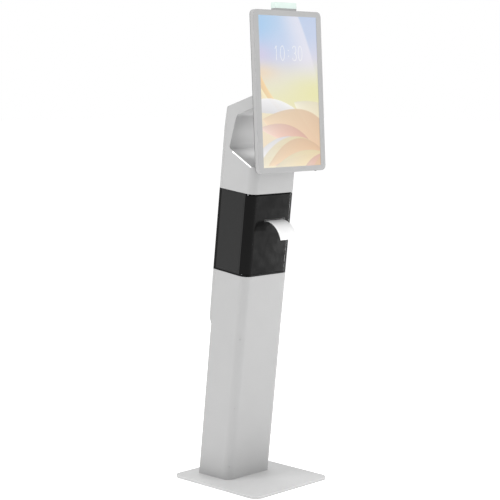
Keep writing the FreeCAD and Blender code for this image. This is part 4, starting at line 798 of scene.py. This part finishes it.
@dataclass
class Base(Assembly):
    """Floor plate, pads and bolts."""

    groove: float = 0.0005
    grooves: int = 4
    pad_reach: float = 0.05
    pad_rows: int = 41
    pad_columns: int = 48
    pad_core: float = 0.03  # shares of the pad's radius
    pad_shoulder: float = 0.97
    pad_flat: float = 0.99  # no groove farther out than this
    pad_edge: float = 0.0003

    def build(self) -> None:
        """Break the plate's edges and make the ribbed pads."""
        self.soften({"base_plate": 0.0006})
        self.pads()

    def pads(self) -> None:
        """Make the rubber pads, with round grooves under them.

        Formula: a turned disc whose underside rises by groove * (0.5 - 0.5 * cos(2 pi n t)), where
        t runs from the middle to the rim and n is the number of grooves.
        """
        pads = []
        for points in clusters("base_pads", self.pad_reach):
            low, high = points.min(axis=0), points.max(axis=0)
            centre = np.array([(low[0] + high[0]) / 2, (low[1] + high[1]) / 2, 0.0])
            rim = (high[0] - low[0]) / 2
            way = np.linspace(self.pad_core, 1, self.pad_rows)
            wave = 0.5 - 0.5 * np.cos(FULL_TURN * self.grooves * way)
            under = low[2] + self.groove * wave * (way < self.pad_flat)
            upper = [rim, rim * self.pad_shoulder, rim * self.pad_core]
            radius = np.concatenate([way * rim, upper])
            rise = np.concatenate([under, [high[2] - self.pad_edge, high[2], high[2]]])
            rings = np.repeat(radius[:, None], self.pad_columns, axis=1)
            pads.append(turned(rings, rise[:, None], centre, Z_AXIS))
        self.add("ribbed_pads", *joined(pads), "stand", "rubber", "base_pads")


@dataclass
class Column(Assembly):
    """Folded column, its rear panel, covers and connectors."""

    def build(self) -> None:
        """Break the panels' edges and make the rear cover's screws."""
        self.soften({"column_shell": 0.0005, "column_rear_panel": 0.0003,
                     "lower_rear_cover": 0.0005, "power_inlet": 0.0002, "network_jack": 0.0002})
        rearward = np.array([0.0, math.cos(LEAN), math.sin(LEAN)])
        self.socket_screws("cover_cap_screws", "cover_screws", rearward, "stand")


@dataclass
class PrinterBay(Assembly):
    """Door, side panels and the printer behind them."""

    sheet: float = 0.00012
    lip: Span = (-0.001, 0.8858)  # back and up, where the receipt leaves the slot
    end: Span = (-0.070, 0.8348)
    bow: float = 0.014
    inside: float = 0.008
    inside_rows: int = 8
    arc_rows: int = 60
    sheet_columns: int = 41
    end_curl: float = 0.0016
    windings: int = 12
    winding: float = 0.00025
    winding_rows: int = 8
    roll_columns: int = 72

    def build(self) -> None:
        """Break the covers' edges and make the paper."""
        self.soften({"printer_door": 0.0005, "bay_left_panel": 0.0004, "bay_right_panel": 0.0004,
                     "bay_rear_cover": 0.0005, "bay_floor": 0.0004, "bay_roof": 0.0003,
                     "slot_bezel": 0.0002})
        self.receipt()
        self.roll()

    def roll(self) -> None:
        """Make the wound paper roll: a closed ring whose ends show the turns of paper.

        Formula: a box profile from bore to rim, turned about the roll's axis; its ends sink by
        winding * (0.5 - 0.5 * cos(2 pi n t)), where t runs from bore to rim, n windings in all.
        """
        points = node_points("paper_roll")
        low, high = points.min(axis=0), points.max(axis=0)
        centre = (low + high) / 2
        away = np.linalg.norm((points - centre)[:, 1:], axis=1)
        bore, rim = away.min(), away.max()
        way = np.linspace(0, 1, self.winding_rows * self.windings + 1)
        dip = self.winding * (0.5 - 0.5 * np.cos(FULL_TURN * self.windings * way))
        half = (high[0] - low[0]) / 2
        outward = bore + (rim - bore) * way
        radius = np.concatenate([outward, outward[::-1]])
        rise = np.concatenate([-half + dip, (half - dip)[::-1]])
        rings = np.repeat(radius[:, None], self.roll_columns, axis=1)
        ring = revolve(rings, rise[:, None], centre, X_AXIS)
        faces = grid_faces(*rings.shape, closed_rows=True, closed_columns=True)[:, ::-1]
        self.crisp(self.add("wound_roll", ring, faces, "roll", "paper", "paper_roll"))

    def receipt(self) -> None:
        """Make the receipt: a flat run in the slot, then an arc that curls down.

        Formula: a circle through lip and end with the given bow. Its sides lift by end_curl *
        reach ** 3 * side ** 2, with reach from slot to free end and side from middle to edge.
        """
        low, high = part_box("receipt")
        lip, end = np.array(self.lip), np.array(self.end)
        chord = np.linalg.norm(end - lip)
        radius = chord ** 2 / (8 * self.bow) + self.bow / 2
        half_angle = math.asin(chord / 2 / radius)
        along = (end - lip) / chord
        normal = np.array([along[1], -along[0]])
        centre = (lip + end) / 2 - normal * (radius - self.bow)
        turn = np.linspace(-half_angle, half_angle, self.arc_rows)[:, None]
        outward = np.sin(turn) * along + np.cos(turn) * normal
        run = np.linspace(self.inside, 0, self.inside_rows, endpoint=False)[:, None]
        path = np.vstack([lip + run * np.array([1.0, 0.0]), centre + radius * outward])
        facing = np.vstack([np.repeat(outward[:1], len(run), axis=0), outward])
        reach = np.concatenate([np.zeros(len(run)), np.linspace(0, 1, len(turn))])
        side = np.linspace(-1, 1, self.sheet_columns)
        lift = self.end_curl * np.outer(reach ** 3, side ** 2)
        across = (low[0] + high[0]) / 2 + side * (high[0] - low[0]) / 2
        back = path[:, :1] + lift * facing[:, :1]
        up = path[:, 1:] + lift * facing[:, 1:] + self.sheet
        points = leaned(across[None, :], back, up)
        piece = self.add("receipt_paper", points, grid_faces(*back.shape), "door", "paper")
        solid = piece.modifiers.new("sheet", "SOLIDIFY")
        solid.thickness = self.sheet
        solid.offset = 0.0
        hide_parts("receipt")


@dataclass
class Head(Assembly):
    """C-shaped head with its recess, light strips and frame."""

    slope: float = math.radians(29.57)  # of the recess floor, from the floor of the room
    line_width: float = 0.0030
    line_height: float = 0.0004
    line_margin: float = 0.003

    line_columns: int = 64
    line_rows: int = 9

    def build(self) -> None:
        """Break the covers' edges and make the light lines."""
        self.soften({"head_shell": 0.0006, "recess_liner": 0.0003, "head_top_cover": 0.0004,
                     "head_rear_cover": 0.0005, "light_strips": 0.0002})
        self.wardrobe.dress(frame["nodes"]["light_strips"], "light_holder")
        for name, side in (("light_line_left", -1), ("light_line_right", 1)):
            self.light_line(name, side)

    def light_line(self, name: str, side: int) -> None:
        """Make the glowing line along one light strip.

        Formula: half an ellipse, standing out sideways, carried along the strip's middle, and
        shrunk by the root of the distance from either end.

        Args:
            name: The piece's name.
            side: -1 for the left strip and 1 for the right one.
        """
        strip = node_points("light_strips")
        strip = strip[strip[:, 0] * side > 0][:, 1:]
        along = np.array([math.cos(self.slope), math.sin(self.slope)])
        rise = np.array([-along[1], along[0]])
        run, middle = strip @ along, ((strip @ rise).min() + (strip @ rise).max()) / 2
        ends = run.min() + self.line_margin, run.max() - self.line_margin
        way = np.linspace(*ends, self.line_columns)[:, None]
        from_end = np.minimum(way - way[0], way[-1] - way)
        taper = np.sqrt(np.clip(from_end / self.line_width, 0, 1))
        angle = np.linspace(0, math.pi, self.line_rows)[None, :]
        aside = self.line_width / 2 * taper * np.cos(angle)
        plane = way[..., None] * along + (middle + aside)[..., None] * rise
        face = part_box("light_strips")[1][0]
        out = side * (face + self.line_height * taper * np.sin(angle))
        points = np.concatenate([out[..., None], plane], axis=-1)
        self.add(name, points, grid_faces(*aside.shape)[:, ::side], "stand", "light_white")


class Petal(Enum):
    """Colours of the wallpaper's petals, base and tip."""

    PEACH = ((244, 204, 168), (252, 228, 198))
    ROSE = ((240, 190, 172), (252, 228, 218))
    CREAM = ((252, 234, 188), (255, 250, 232))
    APRICOT = ((246, 206, 152), (252, 230, 188))
    WHITE = ((242, 242, 248), (252, 252, 255))


@dataclass(frozen=True)
class PetalShape:
    """One petal: base and size in units of the picture's height, direction, colours and bow."""

    base: tuple[float, float]
    angle: float
    length: float
    width: float
    kind: Petal
    bend: float = 0.0


PETALS = tuple(PetalShape(*row) for row in (
    ((-0.05, 0.69), -50, 0.42, 0.13, Petal.APRICOT, -0.14),
    ((-0.07, 0.62), -45, 0.38, 0.12, Petal.CREAM, -0.14),
    ((-0.10, 0.41), -4, 0.44, 0.13, Petal.WHITE, 0.03),
    ((0.80, 0.04), 141, 0.62, 0.32, Petal.CREAM, -0.10),
    ((0.74, -0.01), 155, 0.79, 0.40, Petal.PEACH, -0.10),
    ((0.47, 0.15), 166, 0.49, 0.15, Petal.ROSE, -0.05),
    ((0.46, 0.14), 186, 0.52, 0.16, Petal.WHITE, -0.07),
    ((0.44, 0.18), 187, 0.34, 0.07, Petal.ROSE, 0.05),
    ((0.52, 0.14), 195, 0.60, 0.25, Petal.CREAM, -0.07),
    ((0.58, 0.10), 188, 0.52, 0.21, Petal.PEACH, -0.10),
    ((0.50, 0.08), 188, 0.38, 0.10, Petal.ROSE, 0.05),
    ((0.64, 0.07), 192, 0.62, 0.17, Petal.CREAM, -0.06),
    ((0.66, 0.08), 206, 0.36, 0.13, Petal.ROSE, -0.05),
    ((0.70, 0.10), 222, 0.36, 0.17, Petal.PEACH, -0.05),
))


@dataclass(frozen=True)
class Glow:
    """A soft patch of colour: its middle, its reach across and up, its colour and its weight."""

    centre: Span
    reach: Span
    tint: tuple[int, int, int]
    weight: float


RAMP = ((0.0, (248, 232, 204)), (0.30, (246, 230, 204)), (0.46, (240, 236, 198)),
        (0.60, (236, 234, 226)), (0.72, (224, 222, 238)), (0.86, (206, 216, 240)),
        (1.0, (200, 214, 240)))  # height on the picture, colour

GLOWS = (
    Glow((0.08, 0.92), (0.40, 0.18), (160, 206, 244), 0.80),
    Glow((0.30, 0.80), (0.50, 0.10), (196, 214, 244), 0.60),
    Glow((0.98, 0.50), (0.60, 0.13), (240, 236, 176), 0.80),
    Glow((0.02, 0.74), (0.25, 0.07), (222, 206, 232), 0.60),
    Glow((0.02, 0.62), (0.30, 0.06), (248, 218, 180), 0.65),
)


@dataclass(frozen=True)
class Wallpaper:
    """The lit picture's colours: a soft wash with petals over its lower part, and a painted
    reflection at its top right.
    """

    aspect: float  # width over height
    wave: float = 0.05
    wave_rate: float = 2.2
    wave_start: float = 0.4
    wave_drop: float = 0.03
    # painted reflection: a pale sheen over the picture's top right
    painted_reflection_tint: tuple[int, int, int] = (246, 242, 250)
    painted_reflection_share: float = 0.66
    painted_reflection_line: Place = (0.67, 0.95, 0.6)  # a, b and c of its edge
    painted_reflection_corner: Span = (0.8, 1.3)  # u + v over which it grows
    painted_reflection_blur: float = 0.02
    painted_reflection_fade: Span = (-0.42, -0.03)
    painted_reflection_least: float = 0.25
    painted_reflection_rise: Span = (0.52, 0.78)
    fullness: float = 1.15
    base_power: float = 0.7
    tip_power: float = 0.9
    rim: float = 0.94  # share of the half width where the petal starts to fade
    tip_colour: float = 1.4
    fold_dark: float = 0.92
    fold_light: float = 0.10
    rim_light: float = 0.05
    rim_width: float = 0.06
    opacity: float = 0.9

    def wash(self, u: Array, v: Array) -> Array:
        """Work out the soft background of the picture.

        Formula: a ramp of colours up the picture, bent by a slow wave, with glows over it, and a
        pale sheen, a painted reflection, up to the line u = a + b * (1 - v) - c * (1 - v) ** 2 at
        the top right.

        Args:
            u: Place across, 0 to 1.
            v: Place up, 0 to 1.

        Returns:
            Display colours, red, green and blue on the last axis.
        """
        stops = [stop for stop, _ in RAMP]
        ramp = np.array([tint for _, tint in RAMP]) / BYTE
        wave = self.wave * np.sin(self.wave_rate * u + self.wave_start)
        bent = np.clip(v + wave - self.wave_drop, 0, 1)
        colour = np.stack([np.interp(bent, stops, ramp[:, part]) for part in range(3)], axis=-1)
        for glow in GLOWS:
            offsets = zip((u, v), glow.centre, glow.reach)
            near = np.exp(-sum(((x - middle) / reach) ** 2 for x, middle, reach in offsets))
            colour = self.laid(colour, np.array(glow.tint) / BYTE, near * glow.weight)
        # the painted reflection: a pale sheen laid over the top right of the picture
        first, slope, droop = self.painted_reflection_line
        past = u - (first + slope * (1 - v) - droop * (1 - v) ** 2)
        fade = self.painted_reflection_least + (1 - self.painted_reflection_least) * smooth_step(*self.painted_reflection_fade, past)
        edge = smooth_step(self.painted_reflection_blur, -self.painted_reflection_blur, past) * fade
        corner = smooth_step(*self.painted_reflection_corner, u + v)
        sheen = edge * smooth_step(*self.painted_reflection_rise, v) * corner
        return self.laid(colour, np.array(self.painted_reflection_tint) / BYTE, self.painted_reflection_share * sheen)

    def laid(self, under: Array, over: Array, share: Array) -> Array:
        """Return one colour laid over another by a share from 0 to 1."""
        return under + (over - under) * share[..., None]

    def colours(self, u: Array, v: Array) -> Array:
        """Lay soft petals over the wash.

        Formula: about a bowed axis from base to tip, a petal's half width is a power of the way
        along times a power of what is left. Its colour runs along it and across its fold.

        Args:
            u: Place across, 0 to 1.
            v: Place up, 0 to 1.

        Returns:
            Display colours, red, green and blue on the last axis.
        """
        colour = self.wash(u, v)
        for petal in PETALS:
            turn = math.radians(petal.angle)
            ahead, up = u * self.aspect - petal.base[0], v - petal.base[1]
            along = (ahead * math.cos(turn) + up * math.sin(turn)) / petal.length
            way = np.clip(along, 0, 1)
            bow = petal.bend * petal.length * np.sin(math.pi * way)
            aside = up * math.cos(turn) - ahead * math.sin(turn) - bow
            taper = way ** self.base_power * (1 - way) ** self.tip_power
            half = petal.width * self.fullness * taper + TINY
            inside = smooth_step(1.0, self.rim, np.abs(aside) / half) * (along > 0) * (along < 1)
            base, tip = (np.array(tone) / BYTE for tone in petal.kind.value)
            fill = self.laid(base, tip, way ** self.tip_colour)
            fold = 0.5 + 0.5 * np.clip(aside / half, -1, 1)
            rim = self.rim_light * np.exp(-((1 - fold) / self.rim_width) ** 2)
            fill = fill * (self.fold_dark + self.fold_light * fold)[..., None] + rim[..., None]
            colour = self.laid(colour, np.clip(fill, 0, 1), self.opacity * inside)
        return colour


@dataclass
class Screen(Assembly):
    """Bezel, glass, lit picture, rear shell and status light."""

    side: float = 0.2678
    height: float = 0.4761
    hidden: float = 0.007  # lit border under the bezel, on every side
    columns: int = 160
    rows: int = 284
    picture_ahead: float = 0.00006
    clock_ahead: float = 0.00012
    clock_rise: float = 0.255  # share of the picture's height
    lcd_thickness: float = 0.007
    lcd_height: float = 0.4921

    def build(self) -> None:
        """Break the housing's edges and make the screws, the picture and the clock."""
        self.soften({"display_bezel": 0.0004, "display_rear_shell": 0.0008,
                     "status_light_base": 0.0005, "vesa_plate": 0.0003})
        rearward = np.array([0.0, math.cos(SCREEN_TILT), -math.sin(SCREEN_TILT)])
        self.socket_screws("vesa_cap_screws", "vesa_screws", rearward, "screen")
        self.picture()
        self.clock()

    def place(self, across: Array, up: Array, ahead: float) -> Array:
        """Turn places on the picture into places in the kiosk's frame.

        Args:
            across: Distance to the right of the middle.
            up: Distance above the picture's middle.
            ahead: Distance in front of the display panel's face.

        Returns:
            The places, with x, y and z on the last axis.
        """
        low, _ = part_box("lcd_panel")
        foot = (low[1], low[2] + self.lcd_thickness * math.sin(SCREEN_TILT))
        return leaned(across, -ahead, self.lcd_height / 2 + up, -SCREEN_TILT, foot)

    def picture(self) -> None:
        """Make the lit picture: a flat grid whose points carry its colours."""
        u, v = np.meshgrid(np.linspace(0, 1, self.columns), np.linspace(0, 1, self.rows))
        wide, tall = self.side + 2 * self.hidden, self.height + 2 * self.hidden
        points = self.place((u - 0.5) * wide, (v - 0.5) * tall, self.picture_ahead)
        faces = grid_faces(self.rows, self.columns)[:, ::-1]
        piece = self.add("lit_picture", points, faces, "screen", "screen")
        colours = Wallpaper(self.side / self.height).colours(u, v)
        self.colour_in(piece, colours.reshape(-1, 3))

    def colour_in(self, piece: bpy.types.Object, display: Array) -> None:
        """Write display colours on a lit piece, one for each point."""
        rgba = np.ones((len(piece.data.vertices), 4), np.float32)
        rgba[:, :3] = linear(np.clip(display, 0, 1))
        layer = piece.data.color_attributes.new(PICTURE_ATTRIBUTE, "FLOAT_COLOR", "POINT")
        layer.data.foreach_set("color", rgba.ravel())

    def clock(self) -> None:
        """Make the clock's thin figures as flat strokes just in front of the picture."""
        points, faces = ClockFace().strokes("10:30")
        rise = points[:, 1] + self.height * self.clock_rise
        placed = self.place(points[:, 0], rise, self.clock_ahead)
        piece = self.add("clock_figures", placed, faces, "screen", "screen")
        self.colour_in(piece, np.array([WHITE]))


@dataclass
class ClockFace:
    """Plain thin figures, each made of arcs and straight strokes."""

    tall: float = 0.046
    wide: float = 0.0185
    pen: float = 0.0018
    pitch: float = 0.0275
    steps: int = 28
    dot: float = 0.45  # radius, as a share of the pen's width
    dot_rise: float = 0.4  # the rest are shares of half the figure's width or height
    flag: Span = (0.75, 0.55)  # start of the stroke that leads into the 1
    upper_bow: float = 0.9  # width of the 3's upper bow
    bow_end: float = 160.0  # angle at which the 3 starts, and its mirror ends, in degrees

    def arc(self, centre: Span, radii: Span, start: float, stop: float) -> Array:
        """Return a stroke along an ellipse.

        Formula: the centre plus the radii times the cosine and sine of the angle, in degrees.
        """
        angle = np.radians(np.linspace(start, stop, self.steps))
        ring = (np.cos(angle), np.sin(angle))
        return np.stack([c + r * part for c, r, part in zip(centre, radii, ring)], axis=-1)

    def line(self, start: Span, stop: Span) -> Array:
        """Return a straight stroke."""
        ends = zip(start, stop)
        return np.stack([np.linspace(first, last, self.steps) for first, last in ends], axis=-1)

    def paths(self, figure: str) -> list[Array]:
        """Return the strokes of one figure, about its own middle."""
        w, h = self.wide / 2, self.tall / 2
        dot = self.pen * self.dot
        shapes = {
            "1": [self.line((-w * self.flag[0], h * self.flag[1]), (0, h)),
                  self.line((0, h), (0, -h))],
            "0": [self.arc((0, 0), (w, h), 0, 360)],
            "3": [self.arc((0, h / 2), (w * self.upper_bow, h / 2), self.bow_end, -90),
                  self.arc((0, -h / 2), (w, h / 2), 90, -self.bow_end)],
            ":": [self.arc((0, way * h * self.dot_rise), (dot, dot), 0, 360) for way in (-1, 1)],
        }
        return shapes[figure]

    def strokes(self, text: str) -> Solid:
        """Return the mesh of a line of figures.

        Formula: each stroke's points, moved half a pen's width to both sides along its normal.

        Args:
            text: The figures to draw.

        Returns:
            Points as across and up, and faces.
        """
        ribbons = []
        for index, figure in enumerate(text):
            shift = np.array([(index - (len(text) - 1) / 2) * self.pitch, 0])
            for path in self.paths(figure):
                run = np.gradient(path, axis=0)
                square = np.stack([-run[:, 1], run[:, 0]], -1)
                aside = square / np.linalg.norm(run, axis=1, keepdims=True) * self.pen / 2
                ribbon = np.stack([path - aside, path + aside], axis=1) + shift
                ribbons.append((ribbon.reshape(-1, 2), grid_faces(len(path), 2).tolist()))
        return joined(ribbons)


# --- studio

class Reach(Enum):
    """What a lamp is for: all light, soft light only, or reflections only."""

    ALL = (True, True)
    SOFT = (True, False)
    SHEEN = (False, True)


@dataclass(frozen=True)
class Softbox:
    """A soft rectangular lamp aimed at a point."""

    name: str
    place: Place
    target: Place
    size: Span
    power: float
    reach: Reach = Reach.ALL

    def build(self) -> None:
        """Hang the lamp."""
        lamp = bpy.data.lights.new(self.name, "AREA")
        lamp.shape = "RECTANGLE"
        lamp.size, lamp.size_y = self.size
        lamp.energy = self.power
        holder = bpy.data.objects.new(self.name, lamp)
        holder.location = self.place
        holder.visible_camera = False
        holder.visible_diffuse, holder.visible_glossy = self.reach.value
        aim = Vector(self.target) - Vector(self.place)
        holder.rotation_euler = aim.to_track_quat("-Z", "Y").to_euler()
        bpy.context.scene.collection.objects.link(holder)


@dataclass
class Studio:
    """Pale floor, white surroundings, soft lamps and the camera."""

    camera_place: Place = (-3.3041, -3.2569, 1.3158)
    camera_heading: float = math.radians(-45.38)
    camera_pitch: float = math.radians(83.35)
    focal_length: float = 101.53
    camera_reach: float = 100.0
    floor_reach: float = 40.0
    floor_tone: Colour = grey(250)
    floor_roughness: float = 0.9
    surround: float = 0.50
    backdrop: float = 1.0
    floor_glow: float = 0.58
    lamps: tuple[Softbox, ...] = (
        Softbox("left", (-3.0, 1.2, 2.8), (0, 0, 1.2), (1.6, 2.4), 52.0),
        Softbox("right", (1.9, -3.2, 1.1), (0, 0, 0.1), (1.6, 2.4), 36.0, Reach.SOFT),
        Softbox("rear", (1.8, 3.2, 2.2), (0, 0, 0.8), (1.6, 2.4), 30.0, Reach.SOFT),
        Softbox("sheen", (1.21, -0.98, 0.55), (0, -0.09, 0.86), (0.20, 0.7), 0.35, Reach.SHEEN),
        Softbox("edge_line", (1.26, -0.88, 0.55), (0.1, -0.09, 0.86), (0.026, 0.8), 8.0,
                Reach.SHEEN),
        Softbox("top", (0.0, -0.6, 3.6), (0, 0, 0.6), (2.0, 2.0), 36.0),
        Softbox("recess_up", (0, -0.075, 1.11), (0, -0.08, 1.3), (0.14, 0.05), 0.085, Reach.SOFT),
        Softbox("recess_down", (0, -0.06, 1.14), (0, -0.06, 0.9), (0.14, 0.05), 0.062, Reach.SOFT),
    )

    def build(self) -> None:
        """Set the floor, surroundings, lamps and camera."""
        self.floor()
        self.surroundings()
        for lamp in self.lamps:
            lamp.build()
            LOG.info("lamp %s", lamp.name)
        self.camera()
        bpy.context.scene.view_settings.view_transform = "Standard"

    def floor(self) -> None:
        """Lay a pale floor that nearly matches the surroundings."""
        x, y = np.meshgrid(*[np.linspace(-self.floor_reach, self.floor_reach, 5)] * 2)
        faces = grid_faces(*x.shape)[:, ::-1].tolist()
        mesh = bpy.data.meshes.new("floor")
        mesh.from_pydata(np.stack([x, y, 0 * x], -1).reshape(-1, 3), [], faces)
        floor = bpy.data.objects.new("floor", mesh)
        bpy.context.scene.collection.objects.link(floor)
        graph = Graph("floor")
        graph.set("Base Color", self.floor_tone)
        graph.set("Roughness", self.floor_roughness)
        graph.set("Specular IOR Level", 0.0)
        graph.set("Emission Color", WHITE)
        graph.set("Emission Strength", self.floor_glow)
        mesh.materials.append(graph.material)

    def surroundings(self) -> None:
        """Surround everything with an even soft white, brighter where it is looked at."""
        world = bpy.data.worlds.new("studio")
        world.use_nodes = True
        tree = world.node_tree
        tree.nodes.clear()
        output = tree.nodes.new("ShaderNodeOutputWorld")
        mix = tree.nodes.new("ShaderNodeMixShader")
        ray = tree.nodes.new("ShaderNodeLightPath")
        tree.links.new(ray.outputs["Is Camera Ray"], mix.inputs[0])
        for index, strength in enumerate((self.surround, self.backdrop), start=1):
            light = tree.nodes.new("ShaderNodeBackground")
            light.inputs["Strength"].default_value = strength
            light.inputs["Color"].default_value = (*WHITE, 1.0)
            tree.links.new(light.outputs[0], mix.inputs[index])
        tree.links.new(mix.outputs[0], output.inputs[0])
        bpy.context.scene.world = world

    def camera(self) -> None:
        """Set the camera, with no depth of field and no shift."""
        data = bpy.data.cameras.new("camera")
        data.lens = self.focal_length
        data.clip_end = self.camera_reach
        holder = bpy.data.objects.new("camera", data)
        holder.location = self.camera_place
        holder.rotation_euler = (self.camera_pitch, 0.0, self.camera_heading)
        bpy.context.scene.collection.objects.link(holder)
        bpy.context.scene.camera = holder


# --- all of it

def dress_nodes(wardrobe: Wardrobe) -> None:
    """Give every CAD node the finish of its slot in the record."""
    for part in frame["record"]["subparts"]:
        wardrobe.dress(frame["nodes"][part["node"]], part["material_slot"])


def main() -> None:
    """Build the kiosk's sub-assemblies and the studio."""
    logging.basicConfig(level=logging.INFO, format="%(name)s: %(message)s")
    wardrobe, edges = Wardrobe(), EdgeTool()
    dress_nodes(wardrobe)
    for kind in (Base, Column, PrinterBay, Head, Screen):
        kind(wardrobe, edges).build()
        LOG.info("built the %s", kind.__name__)
    Studio().build()


if __name__ == "__main__":
    main()
